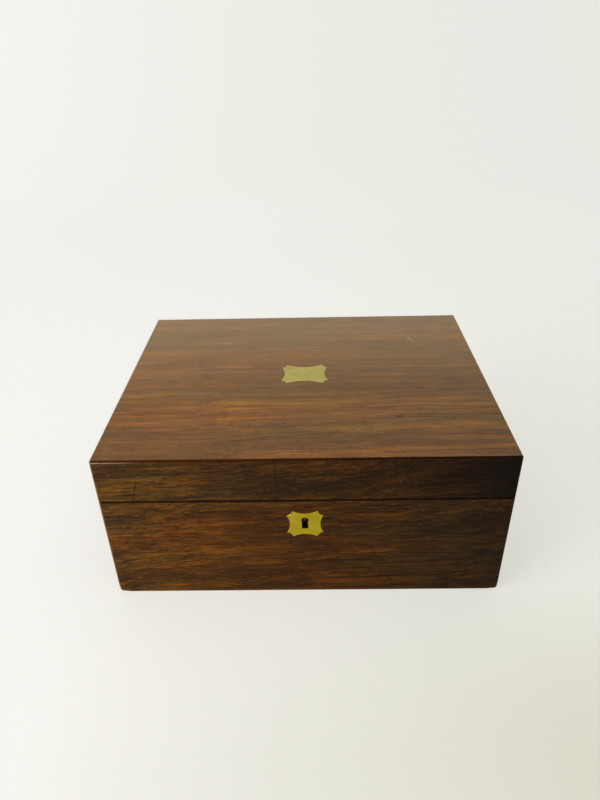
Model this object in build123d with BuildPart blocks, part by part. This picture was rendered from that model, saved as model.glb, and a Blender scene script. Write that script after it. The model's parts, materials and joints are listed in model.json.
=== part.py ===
"""A veneered and dovetailed table box with a flush lock, butt hinges and a lift-out tray.

The box stands closed. Millimetres, +Z up, the front looks along -Y, and the origin is the
middle of the underside.
"""

from build123d import *
from itertools import pairwise
from math import atan2, cos, degrees, radians, sin, sqrt, tan
from typing import NamedTuple
import os

os.makedirs("parts", exist_ok=True)

# Overall size
box_width = 305.0
box_depth = 242.6
box_height = 132.3
lid_height = 37.7
seam_gap = 0.5

# Boards and veneers
veneer = 1.5
base_board = 8.5
lid_board = 7.9
top_board = 7.5
bottom_board = 7.0
baize_thickness = 0.8
edge_round = 1.3
seam_bevel = 0.3
foot_bevel = 0.5

# Dovetails
dovetail_slope = 6.0
base_tail_pitch = 21.7
base_pin_width = 6.0
lid_tail_pitch = 14.1
lid_pin_width = 4.5
tray_tail_pitch = 11.3
tray_pin_width = 3.5
fewest_tails = 2

# Butt hinges
hinge_inset = 58.0
hinge_length = 38.0
hinge_open_angle = 100.0
stop_angle_spare = 1.0
pin_inset = 2.5
pin_radius = 1.05
pin_running_gap = 0.05
knuckle_radius = 2.25
knuckle_count = 5
knuckle_end_gap = 0.1
knuckle_room = 0.3
leaf_thickness = 1.5
leaf_reach = 6.0
leaf_screw_spread = 11.5
leaf_screw_inset = 1.9

# Screws: half sizes across their few flat sides
screw_sides = 8
screw_head = 1.7
screw_shank = 0.9
screw_length = 7.0
screw_slot = 0.45
screw_slot_length = 4.0
screw_sink_angle = 90.0
screw_room = 0.05

# Brass inlays: the plate in the lid and the escutcheon
inlay_gap = 0.05
inlay_chamfer = 0.25
lid_plate_x = -0.4
lid_plate_y = 1.8
escutcheon_x = -0.8
escutcheon_below_rim = 22.8

# Keyhole
key_x = -0.9
key_below_rim = 19.4
keyhole_length = 8.2
keyhole_head = 2.7
keyhole_neck = 2.05
keyhole_foot = 2.4
keyhole_chamfer = 0.3
keyhole_wood_room = 0.3

# Lock
lock_sheet = 1.5
lock_plate_width = 60.0
lock_plate_height = 31.0
lock_screw_inset = 3.4
selvedge_length = 70.0
selvedge_width = 7.0
case_width = 46.0
case_depth = 5.4
case_wall = 0.8
case_foot_margin = 1.5
mortise_room = 0.3
drill_pin_radius = 1.2
drill_pin_length = 6.4
drill_pin_bevel = 0.4

# Bolt and the staples that it hooks
bolt_travel = 4.5
bolt_thickness = 1.4
bolt_bar_height = 5.4
bolt_end_margin = 1.5
bolt_guide_drop = 2.1
stud_radius = 1.0
stud_room = 0.15
stud_spots = (-12.0, 10.0)
stud_length = 3.6
key_bit_swing = 7.6
talon_width = 5.0
talon_depth = 2.3
hook_height = 2.2
hook_gap = 0.8
horn_width = 3.0
staple_spacing = 22.0
staple_thickness = 2.2
staple_reach = 8.6
staple_bar = 1.2
staple_leg = 0.95
staple_room = 0.3
eye_width = 2.0
eye_height = 3.6

# Bolt spring
spring_strip = 0.5
spring_foot_radius = 1.1
spring_foot_x = -20.2
spring_foot_rise = 3.4
spring_bow_x = -17.4
spring_tip_x = -10.5
spring_gap = 0.15

# Linings and the well
lining = 3.0
lip_height = 5.0
lip_round = 1.3
well_pad = 1.6
soft_gap = 0.3
ledge_width = 5.0
ledge_height = 7.0
ledge_round = 3.0
seat_gap = 0.3

# Tray
tray_gap = 0.75
tray_wall = 4.5
tray_height = 34.0
tray_top_below_lip = 2.6
tray_bottom = 3.0
tray_pad = 2.0
pad_inset = 1.0
divider = 3.5
divider_drop = 2.0
divider_gap = 0.1
long_divider_y = 25.0
cross_divider_x = 60.0
scoop_width = 34.0
scoop_depth = 9.0
scoop_round = 1.5
ring_roll_count = 8
ring_roll_height = 16.0

# Covers of the two closed compartments
cover_thickness = 3.5
cover_gap = 0.4
cover_bevel = 0.7
rest_width = 3.0
rest_height = 4.0
knob_sides = 16
knob_ball_radius = 3.4
knob_ball_bands = 5
knob_crown_angle = 68.0
knob_foot_radius = 3.6
knob_neck_radius = 2.0
knob_foot_height = 2.0
knob_tenon_radius = 1.5
knob_tenon_gap = 0.05

# Lining of the lid
border_width = 11.0
border_thickness = 4.3
border_round = 2.0
border_gap = 0.2
lid_pad_thickness = 7.5
lid_pad_gap = 0.6
lid_pad_corner = 6.0
lid_pad_bevel = 2.6
tuft_columns = 5
tuft_rows = 3
tuft_spacing = 46.0
tuft_mouth = 7.0
tuft_depth = 2.6
tuft_slope = 45.0
tuft_sides = 8
button_radius = 3.6
button_crown = 2.4
button_height = 1.8

# Places that follow from the sizes above
half_width = box_width / 2
half_depth = box_depth / 2
rim_height = box_height - lid_height
escutcheon_height = rim_height - escutcheon_below_rim
key_height = rim_height - key_below_rim
keyhole_low = key_height - keyhole_length
board_half_width = half_width - veneer
board_half_depth = half_depth - veneer
floor_level = baize_thickness + bottom_board
wall_half_width = board_half_width - base_board
wall_half_depth = board_half_depth - base_board
lid_low = rim_height + seam_gap
lid_ceiling = box_height - veneer - top_board
lid_half_width = board_half_width - lid_board
lid_half_depth = board_half_depth - lid_board
pin_y = half_depth - pin_inset
pin_z = rim_height + seam_gap / 2
stop_angle = hinge_open_angle / 2 + stop_angle_spare
hinge_spots = (-(half_width - hinge_inset), half_width - hinge_inset)
leaf_inner_y = pin_y - leaf_reach

lip_top = rim_height + lip_height
well_half_width = wall_half_width - lining
well_half_depth = wall_half_depth - lining

tray_high = lip_top - tray_top_below_lip
tray_low = tray_high - tray_height
tray_half_width = well_half_width - tray_gap
tray_half_depth = well_half_depth - tray_gap
tray_inner_x = tray_half_width - tray_wall
tray_inner_y = tray_half_depth - tray_wall
tray_floor = tray_low + tray_bottom
divider_top = tray_high - divider_drop

lock_inner_y = -wall_half_depth
lock_front_y = lock_inner_y - lock_sheet
lock_centre_y = lock_front_y - (case_depth - case_wall) / 2
case_low = rim_height - lock_plate_height + case_foot_margin
case_high = rim_height - lock_sheet
bolt_low = key_height + key_bit_swing - talon_depth
bolt_high = bolt_low + bolt_bar_height
staple_low = lid_low - staple_reach
eye_low = staple_low + staple_bar
eye_middle = eye_low + eye_height / 2
staple_depth = eye_width + 2 * staple_leg
staple_spots = (-staple_spacing / 2, staple_spacing / 2)

FRONT, BACK = -1, 1
LEFT, RIGHT = -1, 1
DOWN, UP = -1, 1


class Carcase(NamedTuple):
    """Four dovetailed boards: outer half sizes, board thickness, height range and tails."""

    half_width: float
    half_depth: float
    thickness: float
    low: float
    high: float
    tail_pitch: float
    pin_width: float


class Cartouche(NamedTuple):
    """Eight-pointed outline: where its points stand and how far its sides are hollowed."""

    end_half: float
    end_reach: float
    side_half: float
    side_reach: float
    end_hollow: float
    side_hollow: float
    corner_hollow: float


base_walls = Carcase(
    board_half_width, board_half_depth, base_board,
    floor_level, rim_height, base_tail_pitch, base_pin_width,
)
lid_walls = Carcase(
    board_half_width, board_half_depth, lid_board,
    lid_low, lid_ceiling, lid_tail_pitch, lid_pin_width,
)
tray_walls = Carcase(
    tray_half_width, tray_half_depth, tray_wall,
    tray_low, tray_high, tray_tail_pitch, tray_pin_width,
)
lid_plate_outline = Cartouche(
    end_half=15.7, end_reach=16.4, side_half=11.2, side_reach=20.2,
    end_hollow=4.5, side_hollow=2.7, corner_hollow=1.3,
)
escutcheon_outline = Cartouche(
    end_half=9.4, end_reach=12.9, side_half=8.3, side_reach=13.9,
    end_hollow=2.7, side_hollow=2.2, corner_hollow=1.0,
)


def save(piece, label):
    """Label a finished piece and write it."""
    piece.part.label = label
    export_step(piece.part, f"parts/{label}.step")


def span(side, near, far):
    """Low and high end of a range from near to far, on the side of the middle plane given."""
    return tuple(sorted((side * near, side * far)))


def block(x, y, z, mode=Mode.ADD):
    """Add or cut a block that fills the ranges x, y and z."""
    with BuildSketch(Plane.XY.offset(z[0])) as footprint:
        with Locations(((x[0] + x[1]) / 2, (y[0] + y[1]) / 2)):
            Rectangle(x[1] - x[0], y[1] - y[0])
    extrude(footprint.sketch, amount=z[1] - z[0], mode=mode)


def tails(carcase, end, x, mode):
    """Add or cut the dovetails at one end of a side board that fills the range x."""
    shoulder = end * (carcase.half_depth - carcase.thickness)
    tip = end * carcase.half_depth
    height = carcase.high - carcase.low
    count = max(fewest_tails, round(height / carcase.tail_pitch))
    pitch = height / count
    wide = (pitch - carcase.pin_width) / 2
    narrow = wide - carcase.thickness / dovetail_slope
    with BuildSketch(Plane.YZ.offset(x[0])) as outline:
        for index in range(count):
            middle = carcase.low + (index + 0.5) * pitch
            with BuildLine():
                Polyline(
                    (shoulder, middle - narrow),
                    (tip, middle - wide),
                    (tip, middle + wide),
                    (shoulder, middle + narrow),
                    close=True,
                )
            make_face()
    extrude(outline.sketch, amount=x[1] - x[0], mode=mode)


def side_board(carcase, side):
    """Left or right board, with tails at both ends."""
    x = span(side, carcase.half_width - carcase.thickness, carcase.half_width)
    shoulder = carcase.half_depth - carcase.thickness
    block(x, (-shoulder, shoulder), (carcase.low, carcase.high))
    for end in (FRONT, BACK):
        tails(carcase, end, x, Mode.ADD)


def end_board(carcase, end):
    """Front or back board, with the pins left between the sockets of the tails."""
    y = span(end, carcase.half_depth - carcase.thickness, carcase.half_depth)
    block((-carcase.half_width, carcase.half_width), y, (carcase.low, carcase.high))
    for side in (LEFT, RIGHT):
        x = span(side, carcase.half_width - carcase.thickness, carcase.half_width)
        tails(carcase, end, x, Mode.SUBTRACT)


def end_veneer(end, low, high, low_bevel, high_bevel):
    """Front or back veneer, as wide as the box, with its outer edges eased."""
    block((-half_width, half_width), span(end, board_half_depth, half_depth), (low, high))
    outer = faces().sort_by(Axis.Y)[0 if end == FRONT else -1]
    fillet(outer.edges().filter_by(Axis.Z), radius=edge_round)
    for place, bevel in ((0, low_bevel), (-1, high_bevel)):
        if bevel:
            rim = faces().sort_by(Axis.Z)[place].edges().sort_by(Axis.Y)
            chamfer(rim[:-1] if end == FRONT else rim[1:], length=bevel)


def side_veneer(side, low, high, low_bevel, high_bevel):
    """Left or right veneer, held between the front and back veneers."""
    x = span(side, board_half_width, half_width)
    block(x, (-board_half_depth, board_half_depth), (low, high))
    for place, bevel in ((0, low_bevel), (-1, high_bevel)):
        if bevel:
            outer = faces().sort_by(Axis.X)[0 if side == LEFT else -1]
            chamfer(outer.edges().filter_by(Axis.Y).sort_by(Axis.Z)[place], length=bevel)


def cut_back_bevel(way):
    """Slope the edge behind the hinge pins away from the seam: the open lid stops against it."""
    reach = 2 * pin_inset
    with BuildSketch(Plane.YZ.offset(-box_width)) as wedge:
        with BuildLine():
            Polyline(
                (pin_y, pin_z),
                (pin_y + reach, pin_z),
                (pin_y + reach, pin_z + way * reach * tan(radians(stop_angle))),
                close=True,
            )
        make_face()
    extrude(wedge.sketch, amount=2 * box_width, mode=Mode.SUBTRACT)


def cut_knuckle_room():
    """Cut the round channels that the hinge knuckles turn in."""
    for hinge_x in hinge_spots:
        start = hinge_x - hinge_length / 2
        with BuildSketch(Plane.YZ.offset(start)) as channel:
            with Locations((pin_y, pin_z)):
                Circle(knuckle_radius + knuckle_room)
        extrude(channel.sketch, amount=hinge_length, mode=Mode.SUBTRACT)


def leaf_level(way):
    """Height range of a hinge leaf, let in flush with the rim of the base or the lid."""
    face = rim_height if way == DOWN else lid_low
    return tuple(sorted((face, face + way * leaf_thickness)))


def leaf_screw_places(way, spots=hinge_spots):
    """Planes of the leaf screws' heads, facing down the shanks, for the leaves of one side."""
    face = rim_height if way == DOWN else lid_low
    y = leaf_inner_y + leaf_screw_inset
    return [
        Plane((hinge_x + step, y, face), x_dir=(1, 0, 0), z_dir=(0, 0, way))
        for hinge_x in spots
        for step in (-leaf_screw_spread, leaf_screw_spread)
    ]


def many_sided(places, wide, narrow, depth, sides, mode=Mode.ADD):
    """Add or cut a many-sided stage that narrows along the normal of each plane."""
    with BuildPart(mode=Mode.PRIVATE) as stage:
        with BuildSketch():
            RegularPolygon(wide, sides, major_radius=False)
        extrude(amount=depth, taper=degrees(atan2(wide - narrow, depth)))
    with Locations(*places):
        add(stage.part, mode=mode)


def screw_shape(places, room, headed, mode):
    """Add or cut countersunk screws, grown by a room, heads flush with the planes given."""
    head = screw_head + room
    shank = screw_shank + room
    sink = (head - shank) / tan(radians(screw_sink_angle / 2))
    many_sided(places, shank, shank, screw_length + room, screw_sides, mode)
    if headed:
        many_sided(places, head, shank, sink, screw_sides, mode)


def screws(places):
    """Add the screws themselves, with a slot across each head."""
    screw_shape(places, 0, True, Mode.ADD)
    sunk = (Align.CENTER, Align.CENTER, Align.MIN)
    with Locations(*places):
        Box(screw_slot_length, screw_slot, screw_slot, align=sunk, mode=Mode.SUBTRACT)


def screw_holes(places, countersunk):
    """Cut the holes of the same screws, with a seat for the head where it shows."""
    screw_shape(places, screw_room, countersunk, Mode.SUBTRACT)


def hinge_leaf(hinge_x, way):
    """One leaf with its own knuckles; the lower leaf has the odd ones, the upper the even."""
    start = hinge_x - hinge_length / 2
    pitch = hinge_length / knuckle_count
    own = 0 if way == DOWN else 1
    notch_y = pin_y - knuckle_radius - knuckle_room
    block((start, start + hinge_length), (leaf_inner_y, pin_y), leaf_level(way))
    for index in range(knuckle_count):
        near = start + index * pitch
        if index % 2 == own:
            with BuildSketch(Plane.YZ.offset(near + knuckle_end_gap)) as round_face:
                with Locations((pin_y, pin_z)):
                    Circle(knuckle_radius)
            extrude(round_face.sketch, amount=pitch - 2 * knuckle_end_gap)
        else:
            block((near, near + pitch), (notch_y, pin_y), leaf_level(way), Mode.SUBTRACT)
    with BuildSketch(Plane.YZ.offset(start)) as bore:
        with Locations((pin_y, pin_z)):
            Circle(pin_radius + pin_running_gap)
    extrude(bore.sketch, amount=hinge_length, mode=Mode.SUBTRACT)
    screw_holes(leaf_screw_places(way, (hinge_x,)), countersunk=True)


def hollow_arc(start, end, hollow):
    """Add an arc from start to end that bows to its left by hollow."""
    chord = Vector(*end) - Vector(*start)
    left = Vector(-chord.Y, chord.X).normalized()
    middle = (Vector(*start) + Vector(*end)) / 2 + left * hollow
    ThreePointArc(start, middle, end)


def cartouche(shape, grow=0.0):
    """Face with eight points and hollow sides, in the open sketch."""
    end_x, end_y = shape.end_half + grow, shape.end_reach + grow
    side_x, side_y = shape.side_reach + grow, shape.side_half + grow
    points = [
        (end_x, end_y), (-end_x, end_y), (-side_x, side_y), (-side_x, -side_y),
        (-end_x, -end_y), (end_x, -end_y), (side_x, -side_y), (side_x, side_y),
    ]
    hollows = (shape.end_hollow, shape.corner_hollow, shape.side_hollow, shape.corner_hollow)
    with BuildLine() as outline:
        for index, start in enumerate(points):
            hollow_arc(start, points[(index + 1) % len(points)], hollows[index % len(hollows)])
    make_face(outline.edges())


def keyhole(room=0.0):
    """Keyhole face in the open sketch: a round head over a slot that widens downwards."""
    with Locations((key_x, key_height)):
        Circle(keyhole_head + room)
    with BuildLine() as slot:
        Polyline(
            (key_x - keyhole_neck - room, key_height),
            (key_x - keyhole_foot - room, keyhole_low - room),
            (key_x + keyhole_foot + room, keyhole_low - room),
            (key_x + keyhole_neck + room, key_height),
            close=True,
        )
    make_face(slot.edges())


def cut_keyhole(y, depth, room=0.0):
    """Cut the keyhole from the plane at y towards the back."""
    with BuildSketch(Plane.XZ.offset(-y)) as hole:
        keyhole(room)
    extrude(hole.sketch, amount=-depth, mode=Mode.SUBTRACT)


def escutcheon_plane(depth):
    """Plane across the middle of the escutcheon, facing the front, at the depth given."""
    centre = (escutcheon_x, -depth, escutcheon_height)
    return Plane(centre, x_dir=(1, 0, 0), z_dir=(0, -1, 0))


def cut_escutcheon_seat():
    """Cut the escutcheon's outline through the front veneer."""
    with BuildSketch(escutcheon_plane(half_depth)) as seat:
        cartouche(escutcheon_outline, inlay_gap)
    extrude(seat.sketch, amount=-veneer, mode=Mode.SUBTRACT)


# Base: dovetailed boards on a bottom board


def lock_screw_places():
    """Planes of the screws at the corners of the lock's back plate."""
    x = lock_plate_width / 2 - lock_screw_inset
    low = rim_height - lock_plate_height + lock_screw_inset
    high = case_high - lock_screw_inset
    return [
        Plane((side * x, lock_inner_y, z), x_dir=(1, 0, 0), z_dir=(0, -1, 0))
        for side in (LEFT, RIGHT)
        for z in (low, high)
    ]


def cut_lock_mortise():
    """Cut the seats of the lock's case, back plate and selvedge out of the front board."""
    back = lock_inner_y
    case_x = case_width / 2 + mortise_room
    case_y = lock_front_y - case_depth - mortise_room
    block((-case_x, case_x), (case_y, back), (case_low - mortise_room, rim_height), Mode.SUBTRACT)
    plate_x = lock_plate_width / 2
    plate_low = rim_height - lock_plate_height
    block((-plate_x, plate_x), (lock_front_y, back), (plate_low, rim_height), Mode.SUBTRACT)
    selvedge_x = selvedge_length / 2
    selvedge_y = back - selvedge_width
    block((-selvedge_x, selvedge_x), (selvedge_y, back), (case_high, rim_height), Mode.SUBTRACT)


with BuildPart() as base_front_board:
    end_board(base_walls, FRONT)
    cut_lock_mortise()
    cut_keyhole(-board_half_depth, base_board, keyhole_wood_room)
    screw_holes(lock_screw_places(), countersunk=False)
save(base_front_board, "base_front_board")

with BuildPart() as base_back_board:
    end_board(base_walls, BACK)
    for hinge_x in hinge_spots:
        leaf_x = (hinge_x - hinge_length / 2, hinge_x + hinge_length / 2)
        block(leaf_x, (leaf_inner_y, pin_y), leaf_level(DOWN), Mode.SUBTRACT)
    cut_knuckle_room()
    cut_back_bevel(DOWN)
    screw_holes(leaf_screw_places(DOWN), countersunk=False)
save(base_back_board, "base_back_board")

for name, side in (("left", LEFT), ("right", RIGHT)):
    with BuildPart() as base_side_board:
        side_board(base_walls, side)
        cut_back_bevel(DOWN)
    save(base_side_board, f"base_{name}_board")

with BuildPart() as bottom:
    block(
        (-board_half_width, board_half_width),
        (-board_half_depth, board_half_depth),
        (baize_thickness, floor_level),
    )
save(bottom, "bottom_board")

with BuildPart() as base_baize:
    block(
        (-board_half_width, board_half_width),
        (-board_half_depth, board_half_depth),
        (0, baize_thickness),
    )
save(base_baize, "base_baize")

# Base: veneers and escutcheon

with BuildPart() as base_front_veneer:
    end_veneer(FRONT, 0, rim_height, foot_bevel, seam_bevel)
    cut_escutcheon_seat()
save(base_front_veneer, "base_front_veneer")

with BuildPart() as base_back_veneer:
    end_veneer(BACK, 0, rim_height, foot_bevel, seam_bevel)
    cut_knuckle_room()
    cut_back_bevel(DOWN)
save(base_back_veneer, "base_back_veneer")

for name, side in (("left", LEFT), ("right", RIGHT)):
    with BuildPart() as base_side_veneer:
        side_veneer(side, 0, rim_height, foot_bevel, seam_bevel)
        cut_back_bevel(DOWN)
    save(base_side_veneer, f"base_{name}_veneer")

with BuildPart() as escutcheon:
    with BuildSketch(escutcheon_plane(board_half_depth)):
        cartouche(escutcheon_outline)
    extrude(amount=veneer)
    chamfer(faces().sort_by(Axis.Y)[0].edges(), length=inlay_chamfer)
    cut_keyhole(-half_depth, veneer)
    bright_edges = faces().sort_by(Axis.Y)[0].inner_wires()[0].edges()
    chamfer(bright_edges, length=keyhole_chamfer)
save(escutcheon, "escutcheon")

# Lock: an angle of brass sheet carries the works, and a case covers them

with BuildPart() as lock_plate:
    block(
        (-lock_plate_width / 2, lock_plate_width / 2),
        (lock_front_y, lock_inner_y),
        (rim_height - lock_plate_height, rim_height),
    )
    block(
        (-selvedge_length / 2, selvedge_length / 2),
        (lock_inner_y - selvedge_width, lock_inner_y),
        (case_high, rim_height),
    )
    slot_x = staple_thickness / 2 + staple_room
    slot_y = staple_depth / 2 + staple_room
    for spot in staple_spots:
        block(
            (spot - slot_x, spot + slot_x),
            (lock_centre_y - slot_y, lock_centre_y + slot_y),
            (case_high, rim_height),
            Mode.SUBTRACT,
        )
    screw_holes(lock_screw_places(), countersunk=True)
save(lock_plate, "lock_plate")

with BuildPart() as lock_case:
    case_x = case_width / 2
    case_y = lock_front_y - case_depth
    block((-case_x, case_x), (case_y, lock_front_y), (case_low, case_high))
    block(
        (-case_x + case_wall, case_x - case_wall),
        (case_y + case_wall, lock_front_y),
        (case_low + case_wall, case_high),
        Mode.SUBTRACT,
    )
    cut_keyhole(case_y, case_wall)
save(lock_case, "lock_case")

with BuildPart() as lock_drill_pin:
    with BuildSketch(Plane.XZ.offset(-lock_front_y)):
        with Locations((key_x, key_height)):
            Circle(drill_pin_radius)
    extrude(amount=drill_pin_length)
    chamfer(faces().sort_by(Axis.Y)[0].edges(), length=drill_pin_bevel)
save(lock_drill_pin, "lock_drill_pin")

with BuildPart() as lock_guide_studs:
    with BuildSketch(Plane.XZ.offset(-lock_front_y)):
        with Locations(*[(spot, bolt_high - bolt_guide_drop) for spot in stud_spots]):
            Circle(stud_radius)
    extrude(amount=stud_length)
save(lock_guide_studs, "lock_guide_studs")

with BuildPart() as lock_bolt:
    bar_left = -(case_width / 2 - case_wall - bolt_end_margin)
    bar_right = -bar_left - bolt_travel
    with BuildSketch(Plane.XZ.offset(-(lock_centre_y + bolt_thickness / 2))):
        with Locations(((bar_left + bar_right) / 2, (bolt_low + bolt_high) / 2)):
            Rectangle(bar_right - bar_left, bolt_bar_height)
        hook_low = eye_middle - hook_height / 2
        hook_high = eye_middle + hook_height / 2
        for spot in staple_spots:
            tip = spot - staple_thickness / 2 - hook_gap
            horn_right = tip - bolt_travel
            with BuildLine():
                Polyline(
                    (horn_right - horn_width, bolt_high),
                    (horn_right - horn_width, hook_high),
                    (tip - hook_height / 2, hook_high),
                    (tip, eye_middle),
                    (tip, hook_low),
                    (horn_right, hook_low),
                    (horn_right, bolt_high),
                    close=True,
                )
            make_face()
        with Locations((key_x - bolt_travel / 2, bolt_low)):
            Rectangle(talon_width, 2 * talon_depth, mode=Mode.SUBTRACT)
        slot_places = [(spot - bolt_travel / 2, bolt_high - bolt_guide_drop) for spot in stud_spots]
        with Locations(*slot_places):
            SlotCenterToCenter(bolt_travel, 2 * (stud_radius + stud_room), mode=Mode.SUBTRACT)
    extrude(amount=bolt_thickness)
save(lock_bolt, "lock_bolt")

with BuildPart() as lock_spring:
    foot = (spring_foot_x, case_low + spring_foot_rise)
    tip = (spring_tip_x, bolt_low - spring_gap - spring_strip)
    bow = (spring_bow_x, (foot[1] + tip[1]) / 2 + spring_foot_rise)
    with BuildSketch(Plane.XZ.offset(-(lock_centre_y + bolt_thickness / 2))):
        with BuildLine():
            ThreePointArc(foot, bow, tip)
        trace(line_width=spring_strip)
    extrude(amount=bolt_thickness)
    with BuildSketch(Plane.XZ.offset(-lock_front_y)):
        with Locations(foot):
            Circle(spring_foot_radius)
    extrude(amount=stud_length)
save(lock_spring, "lock_spring")

with BuildPart() as base_screws:
    screws(lock_screw_places() + leaf_screw_places(DOWN))
save(base_screws, "base_screws")

# Linings, well and ledges


def ring_corners(half_x, half_y):
    """Corners of a rectangle about the middle, from front left round to back left."""
    return [(-half_x, -half_y), (half_x, -half_y), (half_x, half_y), (-half_x, half_y)]


outer_corners = ring_corners(wall_half_width, wall_half_depth)
inner_corners = ring_corners(well_half_width, well_half_depth)
for index, name in enumerate(("front", "right", "back", "left")):
    following = (index + 1) % len(outer_corners)
    with BuildPart() as lining_board:
        with BuildSketch(Plane.XY.offset(floor_level)):
            with BuildLine():
                Polyline(
                    outer_corners[index],
                    outer_corners[following],
                    inner_corners[following],
                    inner_corners[index],
                    close=True,
                )
            make_face()
        extrude(amount=lip_top - floor_level)
        top_edges = faces().sort_by(Axis.Z)[-1].edges().sort_by(SortBy.LENGTH)
        fillet(top_edges[-2:], radius=lip_round)
    save(lining_board, f"lining_{name}")

with BuildPart() as well_floor_pad:
    with BuildSketch(Plane.XY.offset(floor_level + soft_gap)):
        Rectangle(2 * (well_half_width - pad_inset), 2 * (well_half_depth - pad_inset))
    extrude(amount=well_pad)
    fillet(faces().sort_by(Axis.Z)[-1].edges(), radius=well_pad / 2)
save(well_floor_pad, "well_floor_pad")

ledge_top = tray_low - seat_gap
for name, side in (("left", LEFT), ("right", RIGHT)):
    with BuildPart() as tray_ledge:
        block(
            span(side, well_half_width - ledge_width, well_half_width),
            (-well_half_depth, well_half_depth),
            (ledge_top - ledge_height, ledge_top),
        )
        inner_face = faces().sort_by(Axis.X)[-1 if side == LEFT else 0]
        fillet(inner_face.edges().filter_by(Axis.Y).sort_by(Axis.Z)[0], radius=ledge_round)
    save(tray_ledge, f"tray_ledge_{name}")

# Lid: dovetailed boards under a top board, veneers and plate


def link_screw_places():
    """Planes of the screws at the ends of the link plate."""
    x = selvedge_length / 2 - lock_screw_inset
    y = lock_inner_y - selvedge_width / 2
    return [
        Plane((side * x, y, lid_low), x_dir=(1, 0, 0), z_dir=(0, 0, 1))
        for side in (LEFT, RIGHT)
    ]


with BuildPart() as lid_front_board:
    end_board(lid_walls, FRONT)
    block(
        (-selvedge_length / 2, selvedge_length / 2),
        (lock_inner_y - selvedge_width, -lid_half_depth),
        (lid_low, lid_low + lock_sheet),
        Mode.SUBTRACT,
    )
    screw_holes(link_screw_places(), countersunk=False)
save(lid_front_board, "lid_front_board")

with BuildPart() as lid_back_board:
    end_board(lid_walls, BACK)
    for hinge_x in hinge_spots:
        leaf_x = (hinge_x - hinge_length / 2, hinge_x + hinge_length / 2)
        block(leaf_x, (leaf_inner_y, pin_y), leaf_level(UP), Mode.SUBTRACT)
    cut_knuckle_room()
    cut_back_bevel(UP)
    screw_holes(leaf_screw_places(UP), countersunk=False)
save(lid_back_board, "lid_back_board")

for name, side in (("left", LEFT), ("right", RIGHT)):
    with BuildPart() as lid_side_board:
        side_board(lid_walls, side)
        cut_back_bevel(UP)
    save(lid_side_board, f"lid_{name}_board")

with BuildPart() as lid_top_board:
    block(
        (-board_half_width, board_half_width),
        (-board_half_depth, board_half_depth),
        (lid_ceiling, lid_ceiling + top_board),
    )
save(lid_top_board, "lid_top_board")

with BuildPart() as lid_top_veneer:
    with BuildSketch(Plane.XY.offset(box_height - veneer)):
        Rectangle(box_width, box_depth)
    extrude(amount=veneer)
    corners = edges().filter_by(Axis.Z)
    fillet(corners + faces().sort_by(Axis.Z)[-1].edges(), radius=edge_round)
    with BuildSketch(Plane((lid_plate_x, lid_plate_y, box_height))):
        cartouche(lid_plate_outline, inlay_gap)
    extrude(amount=-veneer, mode=Mode.SUBTRACT)
save(lid_top_veneer, "lid_top_veneer")

with BuildPart() as lid_front_veneer:
    end_veneer(FRONT, lid_low, box_height - veneer, seam_bevel, 0)
save(lid_front_veneer, "lid_front_veneer")

with BuildPart() as lid_back_veneer:
    end_veneer(BACK, lid_low, box_height - veneer, seam_bevel, 0)
    cut_knuckle_room()
    cut_back_bevel(UP)
save(lid_back_veneer, "lid_back_veneer")

for name, side in (("left", LEFT), ("right", RIGHT)):
    with BuildPart() as lid_side_veneer:
        side_veneer(side, lid_low, box_height - veneer, seam_bevel, 0)
        cut_back_bevel(UP)
    save(lid_side_veneer, f"lid_{name}_veneer")

with BuildPart() as lid_plate:
    with BuildSketch(Plane((lid_plate_x, lid_plate_y, box_height - veneer))):
        cartouche(lid_plate_outline)
    extrude(amount=veneer)
    chamfer(faces().sort_by(Axis.Z)[-1].edges(), length=inlay_chamfer)
save(lid_plate, "lid_plate")

# Link plate in the rim of the lid, with the two staples that the bolt hooks

with BuildPart() as link_plate:
    block(
        (-selvedge_length / 2, selvedge_length / 2),
        (lock_inner_y - selvedge_width, -lid_half_depth),
        (lid_low, lid_low + lock_sheet),
    )
    for spot in staple_spots:
        with BuildSketch(Plane.YZ.offset(spot - staple_thickness / 2)) as loop:
            with Locations((lock_centre_y, lid_low)):
                Rectangle(staple_depth, staple_reach, align=(Align.CENTER, Align.MAX))
            with Locations((lock_centre_y, eye_middle)):
                Rectangle(eye_width, eye_height, mode=Mode.SUBTRACT)
        extrude(loop.sketch, amount=staple_thickness)
    lowest = edges().filter_by(Axis.X).group_by(Axis.Z)[0]
    fillet(lowest, radius=staple_leg / 2)
    screw_holes(link_screw_places(), countersunk=True)
save(link_plate, "link_plate")

with BuildPart() as lid_screws:
    screws(link_screw_places() + leaf_screw_places(UP))
save(lid_screws, "lid_screws")

# Hinges

for name, hinge_x in zip(("left", "right"), hinge_spots):
    for leaf_name, way in (("lower", DOWN), ("upper", UP)):
        with BuildPart() as leaf:
            hinge_leaf(hinge_x, way)
        save(leaf, f"hinge_{name}_{leaf_name}_leaf")

with BuildPart() as hinge_pins:
    for hinge_x in hinge_spots:
        with BuildSketch(Plane.YZ.offset(hinge_x - hinge_length / 2)):
            with Locations((pin_y, pin_z)):
                Circle(pin_radius)
        extrude(amount=hinge_length)
save(hinge_pins, "hinge_pins")

# Lining of the lid: a silk-covered border round a buttoned pad

border_inner_x = lid_half_width - border_gap - border_width
border_inner_y = lid_half_depth - border_gap - border_width
with BuildPart() as lid_border:
    with BuildSketch(Plane.XY.offset(lid_ceiling - border_thickness)):
        Rectangle(2 * (lid_half_width - border_gap), 2 * (lid_half_depth - border_gap))
        Rectangle(2 * border_inner_x, 2 * border_inner_y, mode=Mode.SUBTRACT)
    extrude(amount=border_thickness)
    fillet(faces().sort_by(Axis.Z)[0].inner_wires()[0].edges(), radius=border_round)
save(lid_border, "lid_border")

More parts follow.
